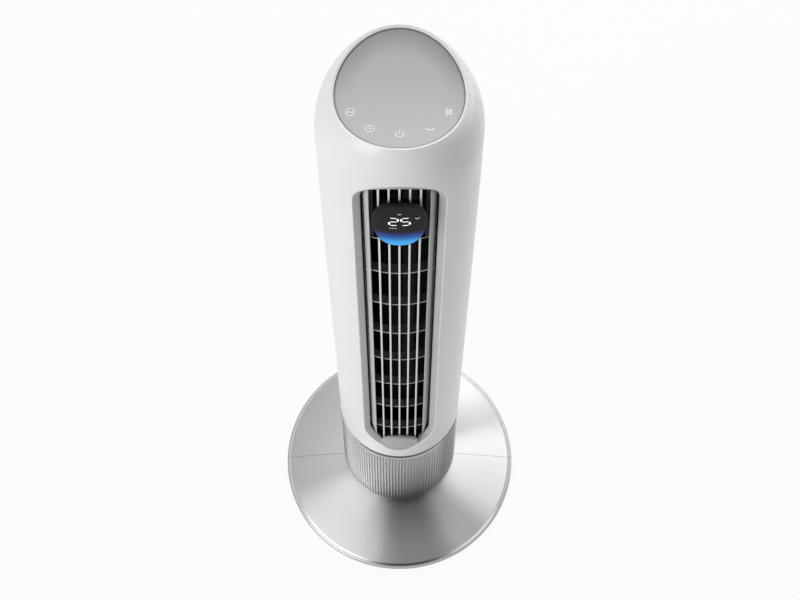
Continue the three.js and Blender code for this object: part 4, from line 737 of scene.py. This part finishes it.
def on_shell(line, depth, side):
    """Points of (x, z) put on the shell's form at a depth under its face."""
    radius = shell_radius(line[:, 1]) - depth
    north = side * np.sqrt(np.clip(radius ** 2 - line[:, 0] ** 2, 1, None))
    return spots(line[:, 0], north, line[:, 1])


def carried(line_of, section, side, closed=True):
    """A section of (inset, depth) points carried round an outline that each inset draws in."""
    rails = np.array([on_shell(line_of(inset), depth, side) for inset, depth in section])
    return net(rails, True, closed, not closed)


def nosed(left, right, face, back, noses, steps=3):
    """A section from left to right and from a face down to a back, with the face's corners rounded."""
    return rounded([(left, face), (right, face), (right, back), (left, back)], [*noses, 0, 0], steps)


grille_parts = [carried(window_line, nosed(0.3, 6.0, 0.0, 2.5, (0.5, 0.6)), 1)]
SLAT_HALF, SLAT_BACK = 2.7, 2.4


def slat(turn, low, high, steps=14):
    """An upright slat at an angle from the rear, in degrees, its section turned to face outwards."""
    section = nosed(-SLAT_HALF, SLAT_HALF, 0, SLAT_BACK, (0.8, 0.8))
    level = np.linspace(low, high, steps)
    radius = shell_radius(level)[None, :] - section[:, 1, None]
    angle = math.radians(90 + turn) + section[:, 0, None] / radius
    return net(around(radius, angle, level), True, False, True)


def bridge(level, height, reach, steps=40):
    """A cross bridge at a level: its section bends round the shell's form."""
    section = nosed(-height / 2, height / 2, 0.15, SLAT_BACK, (0.7, 0.7))
    turn = math.radians(90) + np.linspace(-reach, reach, steps) * math.pi / 180
    return net(around(shell_radius(level) - section[:, 1, None], turn, level + section[:, 0, None]),
               True, False, True)


SLAT_PITCH, SLOT_MARGIN, BRIDGE_HEIGHT = 9, 9, 8
slot_height = (WINDOW_TOP - WINDOW_FOOT - 2 * SLOT_MARGIN - 3 * BRIDGE_HEIGHT) / 4
grille_parts += [slat(SLAT_PITCH * k, WINDOW_FOOT + 3, WINDOW_TOP - 3) for k in range(-4, 5)]
grille_parts += [bridge(WINDOW_FOOT + SLOT_MARGIN + k * (slot_height + BRIDGE_HEIGHT) - BRIDGE_HEIGHT / 2,
                        BRIDGE_HEIGHT, 43.5) for k in (1, 2, 3)]
white_grille = moulded("white_grille", 236, 0.36, 0.8, 0.01)
lay("inlet_grille_skin", grille_parts, white_grille, "tower", ["inlet_grille"], 40)


# ---------- touch panel ----------
# A scooped disc of pale grey acrylic sits 1 mm below the shell's lip. White touch marks are printed
# on it along the front edge: air flow, timer, power, swing and fan speed.
PANEL_SINK = 1.0


def scooped(radius, upper, lower):
    """A disc that follows the panel's scoop between two depths, with a soft upper edge."""
    share = np.concatenate([np.linspace(0, 1, 30) ** 0.8, [1, 1], np.linspace(1, 0, 6)])
    inset = np.concatenate([np.zeros(29), [0.35, 0.1, 0], np.zeros(6)])
    depth = np.concatenate([np.full(30, upper), [upper + 0.12, upper + 0.4], np.full(6, lower)])
    reach = np.where(share > 0, radius * share - inset, 0)
    return net(panel_ring(reach[:, None], whole_turn(144), depth[:, None]), False, True)


acrylic = Finish("pale_grey_acrylic")
acrylic_x, acrylic_y = acrylic.axes()[:2]
acrylic_reach = (acrylic_x * acrylic_x + acrylic_y * acrylic_y) ** 0.5
# Painted shade: the grey darkens from 200 towards 160 in an outer band at the panel's rear, under the
# shell's lip; faint dust is added on top.
painted_rim_shade = acrylic.smooth(acrylic_reach, 0.030, 0.0508) * acrylic.smooth(acrylic_y, -0.02, 0.035)
acrylic_dust = acrylic.noise(0.5, 2.0)
grey_acrylic = acrylic.principled(
    Base_Color=acrylic.mix(painted_rim_shade * 0.8 + acrylic_dust * 0.05, tone(200), tone(160)),
    Roughness=0.5 + acrylic_dust * 0.06, Normal=acrylic.bump(acrylic_dust, 0.002))
lay("touch_panel_skin", [scooped(51.0, PANEL_SINK, 4.0)], grey_acrylic, "tower", ["touch_panel"])
seal_rings = [panel_ring(radius, whole_turn(144), drop) for radius, drop in
              ((50.8, 0.9), (50.85, 0.3), (51.5, 0.3), (51.5, 2.5), (50.8, 2.5))]
grey_seal = moulded("grey_seal", 112, 0.6)
lay("panel_seal", [net(np.array(seal_rings), True, True)], grey_seal, "tower")
printed = Finish("white_print_painted_glow")
printed_grain = printed.noise(0.4, 2.0)
# Painted glow: the printed marks also give off a faint white light of strength 0.12.
white_print_painted_glow = printed.principled(Base_Color=printed.mix(printed_grain, tone(240), tone(252)), Roughness=0.5,
                                 Emission_Color=tone(255), Emission_Strength=0.12)


def printed_line(points, width, closed=False):
    """A printed line on the panel: a low flat ribbon 0.05 high along points of (x, y)."""
    points = np.array(points, float)
    along = np.roll(points, -1, 0) - np.roll(points, 1, 0) if closed else np.gradient(points, axis=0)
    across = np.stack([-along[:, 1], along[:, 0]], -1)
    across /= np.linalg.norm(across, axis=1)[:, None]
    rails = []
    for offset, height in ((-0.5, 0.0), (-0.5, 0.05), (0.5, 0.05), (0.5, 0.0)):
        flat = points + across * offset * width
        rails.append(np.column_stack([flat, panel_height(flat[:, 1]) - PANEL_SINK - 0.02 + height]))
    return net(np.array(rails), True, closed, not closed)


def hand(x1, y1, x2, y2):
    """A straight stroke of four parts between two places."""
    return [(x1 + (x2 - x1) * k / 4, y1 + (y2 - y1) * k / 4) for k in range(5)]


wave = [(-40.3 + 4.0 * k / 12, -15.1 + 0.3 * math.sin(k / 12 * 2 * math.pi)) for k in range(13)]
marks = [
    printed_line(arc(-38.3, -15.1, 3.2), 0.55, True),
    printed_line(wave, 0.6),
    printed_line(arc(-23.0, -30.7, 3.2), 0.55, True),
    printed_line(hand(-23.0, -28.5, -23.0, -30.7), 0.6),
    printed_line(hand(-23.3, -30.7, -22.3, -30.9), 0.8),
    printed_line(arc(0, -35.9, 3.1, 130, 410), 0.6),
    printed_line(hand(0, -32.2, 0, -35.4), 0.6),
    printed_line(arc(23.3, -28.9, 3.2, 215, 325), 0.7),
    printed_line(arc(20.5, -30.7, 0.35, steps=12), 0.8, True),
    printed_line(arc(26.1, -30.7, 0.35, steps=12), 0.8, True),
]
fan_x, fan_y = 38.3, -15.1
for k in range(4):
    middle = math.radians(45 + 90 * k)
    dot = arc(fan_x + 1.1 * math.cos(middle), fan_y + 1.1 * math.sin(middle), 0.5, steps=12)
    tip = 3.1 - 1.4 * np.abs(np.linspace(-1, 1, 9)) ** 3
    marks += [printed_line(arc(fan_x, fan_y, tip, 21 + 90 * k, 69 + 90 * k, 9), 0.6),
              printed_line(dot, 0.4, True)]
lay("touch_marks", marks, white_print_painted_glow, "tower")
dressed(["touch_film"], moulded("clear_film", 170, 0.5))


# ---------- outlet bezel ----------
# A funnel-shaped frame of satin grey plastic leads from the shell's opening in to the grille. It is
# set 0.5 mm back from the shell's face, and its foot runs into the capsule's seat.
satin_grey = moulded("satin_grey_bezel", 190, 0.4, 0.7, 0.008)
bezel_section = rounded([(0.3, 0.5), (6.2, 6.2), (6.2, 8.4), (0.3, 2.7)], [0.7, 0.5, 0, 0], 3)
lay("outlet_bezel_skin", [carried(outlet_path, bezel_section, -1, False)], satin_grey, "tower",
    ["outlet_bezel"], 40)


# ---------- outlet grille ----------
# Five slim upright bars stand in a frame whose side strips roll over to a bright inner edge. The
# bars stop above the display and start again below it, with rounded ends.
POD_LEVEL = 837.4


def strip(side, steps=150):
    """A side strip of the grille's frame. It is straight at its inner edge and follows the bezel's foot
    and head arcs outside. Its depth falls as 9 (1 - u)^1.4 from the groove to a nose at the edge."""
    outer, inner = 31.6, 24.95
    rise = math.sqrt(outer ** 2 - inner ** 2) - 0.2
    level = np.linspace(FOOT_ARC - rise, HEAD_ARC + rise, steps)
    beyond = np.clip(level - HEAD_ARC, 0, None) + np.clip(FOOT_ARC - level, 0, None)
    outside = np.sqrt(outer ** 2 - beyond ** 2)
    share = np.concatenate([np.linspace(0, 0.93, 14), [0.98, 1.0, 1.0, 0.0]])
    depth = np.concatenate([5.0 + 9.0 * (1 - share[:14] / 0.93) ** 1.4, [5.2, 5.8, 14.5, 14.5]])
    rails = [on_shell(np.stack([side * (outside + (inner - outside) * own) * spread(level), level], -1),
                      deep, -1) for own, deep in zip(share, depth)]
    return net(np.array(rails), True, False, True)


grille_frame = moulded("pale_grey_grille_frame", 206, 0.4, 0.6, 0.006)
lay("grille_side_strips", [strip(-1), strip(1)], grille_frame, "tower")


BAR_PITCH, BAR_DEEP, BAR_NOSE = 8.55, 4.5, 1.2


def bar(place, low, high, steps=60):
    """An upright bar of 1.8 by 4.5 with a round nose, whose last 1.2 mm roll in at both ends. Its place
    from the middle, 8.55 a bar, widens with the outlet."""
    section = nosed(-0.9, 0.9, 0, BAR_DEEP, (0.8, 0.8), 4)
    roll = BAR_NOSE * (1 - np.cos(np.linspace(0, math.pi / 2, 6)))
    level = np.concatenate([low + roll, np.linspace(low + 6, high - 6, steps), (high - roll)[::-1]])
    distance = np.minimum(level - low, high - level)
    slim = np.sqrt(np.clip(1 - (1 - np.clip(distance / BAR_NOSE, 0, 1)) ** 2, 0, 1))
    east = BAR_PITCH * place * spread(level) + section[:, 0, None] * slim
    depth = 5.0 + (BAR_DEEP / 2 + (section[:, 1, None] - BAR_DEEP / 2) * slim)
    radius = shell_radius(level)[None, :] - depth
    return net(spots(east, -np.sqrt(radius ** 2 - east ** 2), level), True, False, True)


# The bars end round the display pod, over the capsule's seat and under the frame's arch.
grille_pieces = []
for k in range(-2, 3):
    x = 8.7 * k
    pod_reach = 27.7 * (1 - (abs(x) / 20.2) ** 1.9) ** (1 / 1.9)
    seat = SCENT_LEVEL + math.sqrt(17.8 ** 2 - x ** 2) if abs(k) < 2 else FOOT_ARC - 28.5
    grille_pieces += [bar(k, seat, POD_LEVEL - pod_reach),
                      bar(k, POD_LEVEL + pod_reach, HEAD_ARC + math.sqrt(31.5 ** 2 - x ** 2), 12)]
pale_bars = moulded("pale_grey_bars", 240, 0.34, 0.6, 0.006)
lay("outlet_grille_skin", grille_pieces, pale_bars, "tower", ["outlet_grille"], 40)


# ---------- ribs behind the bars ----------
# Seven cross ribs keep fingers from the impeller: a pale strip along each front edge is a painted
# highlight, and their dark grey is painted shade. They hang between two side rails, and a carrier with
# round corners at the top holds the display.
RIB_FACE, RIB_REACH, RIB_HALF, RIB_BOW = 9.8, 8.5, 30.2, 82


def curved_slab(outline, steps=40):
    """A slab across the duct, bowed forwards on a radius of 82: an outline of (level, depth) drawn out."""
    x = np.linspace(-RIB_HALF, RIB_HALF, steps)
    bow = RIB_BOW - np.sqrt(RIB_BOW ** 2 - x ** 2)
    front = (shell_radius(outline[:, 0]) - outline[:, 1])[:, None] - bow
    return net(spots(x, -front, outline[:, 0, None]), True, False, True)


def slab_outline(level, half_thick, face, back, round_off):
    """An outline of (level, depth) with two rounded front edges."""
    return rounded([(level - half_thick, back), (level - half_thick, face), (level + half_thick, face),
                    (level + half_thick, back)], [0, round_off, round_off, 0], 3)


def rail(side, low, high, steps=30):
    """An upright rail beside the ribs, its front edge on the shell's form and its back at 44."""
    section = nosed(28.0, 30.5, 0, 1, (0.5, 0.3), 2)
    level = np.linspace(low, high, steps)
    front = -np.sqrt((shell_radius(level) - RIB_FACE) ** 2 - 29.0 ** 2)
    north = front[None, :] + (-44 - front[None, :]) * np.clip(section[:, 1, None], 0, 1)
    return net(spots(side * section[:, 0, None], north, level), True, False, True)


def carrier_side(side, low, high, corner=7.0, steps=60):
    """One side of the carrier: a plate 3 thick from the rail in to 22, where its edge turns in over the
    head on a quarter circle."""
    level = np.linspace(low, high, steps)
    beyond = np.clip(level - (high - corner), 0, corner)
    inner = 22.0 - (corner - np.sqrt(corner ** 2 - beyond ** 2))
    rails = [on_shell(np.stack([side * (RIB_HALF + (inner - RIB_HALF) * own), level], -1), deep, -1)
             for own, deep in ((0, RIB_FACE), (1, RIB_FACE), (1, RIB_FACE + 3), (0, RIB_FACE + 3))]
    return net(np.array(rails), True, False, True)


rib_low, rib_high = [corner[2] * 1000 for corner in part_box("rib_ladder")]
CARRIER_FOOT = 790
rib_levels = [315 + 70.4 * k - 0.3 * k * k for k in range(7)]
ladder = [curved_slab(slab_outline(level, 0.8, RIB_FACE + 0.3, RIB_FACE + RIB_REACH, 0.1))
          for level in rib_levels]
ladder += [rail(side, rib_low, rib_high) for side in (-1, 1)]
ladder += [carrier_side(side, CARRIER_FOOT, 878) for side in (-1, 1)]
# Painted shade: the ribs, rails and carrier are a dark grey that stands in for the shade behind the ribs'
# front edges.
dark_ribs_painted_shade = moulded("dark_ribs_painted_shade", 70, 0.6, 0.7, 0.01, shine=0.2)
lay("rib_ladder_skin", ladder, dark_ribs_painted_shade, "tower", ["rib_ladder"], 40)
# Painted highlight: a pale strip along each rib's front edge and along the carrier's foot, where light
# falls on them.
painted_lit_edges = [curved_slab(slab_outline(level, 0.8, RIB_FACE, RIB_FACE + 0.3, 0.25)) for level in rib_levels]
painted_lit_edges.append(curved_slab(slab_outline(CARRIER_FOOT + 0.4, 0.5, RIB_FACE - 0.1, RIB_FACE + 0.3, 0.2)))
lay("rib_painted_lit_edges", painted_lit_edges, moulded("painted_lit_rib_edges", 190, 0.4, 0.7, 0.006), "tower")


# ---------- display pod ----------
# A pillow-shaped pod of black plastic stands proud of the bars. Behind its smoked lens, white
# segments show the temperature, with small signs round them and a blue glow along the foot.
POD_FACE = 70.5


def on_round(x, z, radius):
    """Points of (x, z) put on the front of an upright cylinder about the fan's axis."""
    return spots(x, -np.sqrt(radius ** 2 - x ** 2), z)


def pillow(rings, power=2.5, steps=120):
    """Superellipse rings of (half width, half height, radius of the face) on the pod's round face."""
    cosine, sine = np.cos(whole_turn(steps)), np.sin(whole_turn(steps))
    unit_x = np.sign(cosine) * np.abs(cosine) ** (2 / power)
    unit_z = np.sign(sine) * np.abs(sine) ** (2 / power)
    rows = [on_round(half * unit_x, POD_LEVEL + tall * unit_z, face) for half, tall, face in rings]
    return net(np.array(rows), False, True)


housing_rings = [(21.2, 35.2, 69.0), (21.2, 35.2, 70.3), (21.5, 35.4, 70.5), (21.8, 35.8, 70.3),
                 (22.0, 36.0, 69.8), (22.0, 36.0, 68.6), (21.4, 33.0, 66.8), (20.0, 27.7, 64.5),
                 (20.0, 27.7, 60.2), (0.01, 0.01, 60.2), (0.01, 0.01, 69.0)]
black_gloss = moulded("black_satin_plastic", 10, 0.45, 1.2, 0.003, shine=0.15)
lay("display_housing_skin", [pillow(housing_rings)], black_gloss, "tower",
    ["display_housing", "display_board"], 30)

smoked = Finish("smoked_lens")
smoked_level = smoked.axes()[2] * 1000.0
smoked_haze = smoked.noise(12, 2.0)
glow_share = smoked.smooth(smoked_level, 829.0, 805.0)
glow_tone = smoked.node("ShaderNodeValToRGB", {"stops": [
    (0.0, (0.0, 0.0, 0.0, 1.0)), (0.3, tone(38, 54, 126)), (0.62, tone(32, 98, 176)),
    (1.0, tone(66, 172, 238))]}, {0: glow_share})
smoked_lens = smoked.principled(
    Base_Color=smoked.mix(smoked_haze, tone(16), tone(24)), Roughness=0.28 + smoked_haze * 0.05,
    Specular_IOR_Level=0.04, Emission_Color=glow_tone, Emission_Strength=1.0)
lens_rings = [(0.01, 0.01, POD_FACE),
              *[(21.0 * s, 35.0 * s, POD_FACE) for s in np.linspace(0.08, 0.985, 16)],
              (21.0, 35.0, 70.35), (21.05, 35.05, 69.4), (0.01, 0.01, 69.4)]
lay("display_lens_skin", [pillow(lens_rings)], smoked_lens, "tower", ["display_lens"], 30)


def segment_light(name, body, dim, bright, strength):
    """A lit sign on the lens: a plain body that glows a little unevenly."""
    lit = Finish(name)
    uneven = lit.mix(lit.noise(1.0, 1.0), tone(dim), tone(bright))
    return lit.principled(Base_Color=tone(body), Roughness=0.4, Emission_Color=uneven,
                          Emission_Strength=strength)


white_light = segment_light("lit_segments", 235, 238, 252, 0.9)
faint_light = segment_light("faint_segments", 150, 225, 245, 0.25)


def flat_sign(points, face=POD_FACE):
    """A flat sign: an outline of (x, z) sunk 0.05 in a round face and raised 0.12 above it."""
    x, z = np.array(points, float).T
    return plug(np.array([on_round(x, z, face - 0.05), on_round(x, z, face + 0.12)]))


def segment(x, z, half, thick, upright=False):
    """A segment of the figures, level or upright: a slim hexagon with pointed ends."""
    along = half * np.array([-1, -1, 1, 1, 1, -1]) + thick * np.array([0, 1, -1, 0, -1, 1])
    across = thick * np.array([0, 1, 1, 0, -1, -1])
    east, up = (across, along) if upright else (along, -across)
    return flat_sign(np.stack([x + east, z + up], -1))


signs = []
for middle, first in ((-4.9, 1), (4.9, -1)):
    signs += [segment(middle, level, 2.6, 0.45) for level in (850.6, 844.5, 838.4)]
    signs += [segment(middle + 3.5 * first, 847.5, 2.2, 0.8, True),
              segment(middle - 3.5 * first, 841.4, 2.2, 0.8, True)]
lay("display_signs", signs, white_light, "tower")
small_signs = [flat_sign([(0.0, 856.0), (1.9, 858.0), (-1.9, 858.0)]),
               flat_sign([(14.6, 846.4), (16.9, 849.4), (16.2, 849.7), (14.6, 847.9), (13.0, 849.7),
                          (12.3, 849.4)])]
small_signs += [flat_sign([(x - 0.8, 832.6), (x + 0.8, 832.6), (x + 0.8, 833.8), (x - 0.8, 833.8)])
                for x in (-7.6, -5.4, -3.2)]
lay("small_signs", small_signs, faint_light, "tower")


# ---------- scent capsule ----------
# A round sleeve at the outlet's foot holds a capsule that pulls out forwards. Its pale grey cap is
# wider than the sleeve, with a raised rim and a plain drop, and a felt pad sits behind it.
def faced_disc(radii, faces, flat_rings, steps=96):
    """Rings on the capsule's axis. Each lies on an upright cylinder of its face's radius, except the
    flat rings, which lie flat at that distance from the fan's axis."""
    turn = whole_turn(steps)
    rows = []
    for k, (radius, face) in enumerate(zip(radii, faces)):
        x, z = radius * np.cos(turn), SCENT_LEVEL + radius * np.sin(turn)
        rows.append(spots(x, -face, z) if k in flat_rings else on_round(x, z, face))
    return net(np.array(rows), False, True)


CAP_FACE = 71.6
sleeve_radii = [18.7, 18.7, 20.0, 20.0, 0.01, 0.01, 18.7]
sleeve_faces = [54.0, 67.0, 67.0, 52.0, 52.0, 54.0, 54.0]
dark_sleeve = moulded("dark_sleeve", 10, 0.7, 0.8, 0.01, shine=0.1)
lay("scent_socket_skin", [faced_disc(sleeve_radii, sleeve_faces, (0, 3, 4, 5, 6))], dark_sleeve,
    "tower", ["scent_socket"], 35)
cap_radii = [0.01, *np.linspace(2, 18.6, 12), 19.3, 19.8, 20.6, 21.2, 21.5, 21.55, 21.3, 20.8, 15.6, 15.6,
             0.01]
cap_faces = [*[CAP_FACE] * 13, 71.7, 72.2, 72.3, 72.1, 71.6, 70.6, 69.0, 68.4, 68.2, 54.3, 54.3]
cap_grey = moulded("pale_grey_cap", 182, 0.36, 0.7, 0.008)
lay("scent_capsule_skin", [faced_disc(cap_radii, cap_faces, (22, 23))], cap_grey, "scent",
    ["scent_capsule"], 35)
drop_turn = whole_turn(40)
drop_x = 2.2 * np.sin(drop_turn) * (0.5 - 0.5 * np.cos(drop_turn))
drop = np.stack([drop_x, SCENT_LEVEL + 4 + 3.6 * np.cos(drop_turn)], -1)
lay("capsule_drop", [flat_sign(drop, CAP_FACE)], moulded("pale_drop", 205, 0.4), "scent", (), 40)
felt = Finish("white_felt")
felt_fibre = felt.noise(0.4, 6.0)
white_felt = felt.principled(Base_Color=felt.mix(felt_fibre, tone(205), tone(235)), Roughness=0.95,
                             Normal=felt.bump(felt_fibre, 0.15))
dressed(["scent_pad"], white_felt)


# ---------- air duct, impeller and electronics ----------
# Black plastic duct walls guide the air round a long cross-flow impeller to the outlet. The main
# board lies under the duct, beside the fan motor.
black_duct = moulded("black_duct_plastic", 10, 0.7, 0.8, 0.015, shine=0.1)
black_blade = moulded("black_blade_plastic", 9, 0.6, 0.8, 0.01, shine=0.1)
dressed(["duct_floor", "duct_top", "scroll_wall", "tongue_wall", "tower_floor"], black_duct)
dressed(["impeller"], black_blade)
dressed(["upper_bush"], black_rubber)
board = Finish("green_board")
board_cloud = board.noise(3.0, 0.0, (1.0, 0.2, 1.0))
board_track = board_cloud > 0.52
green_board = board.principled(Base_Color=board.mix(board_track, tone(24, 78, 48), tone(40, 108, 66)),
                               Roughness=0.4 + board_cloud * 0.1, Coat_Weight=0.3,
                               Normal=board.bump(board_track, 0.03))
dressed(["main_board"], green_board)
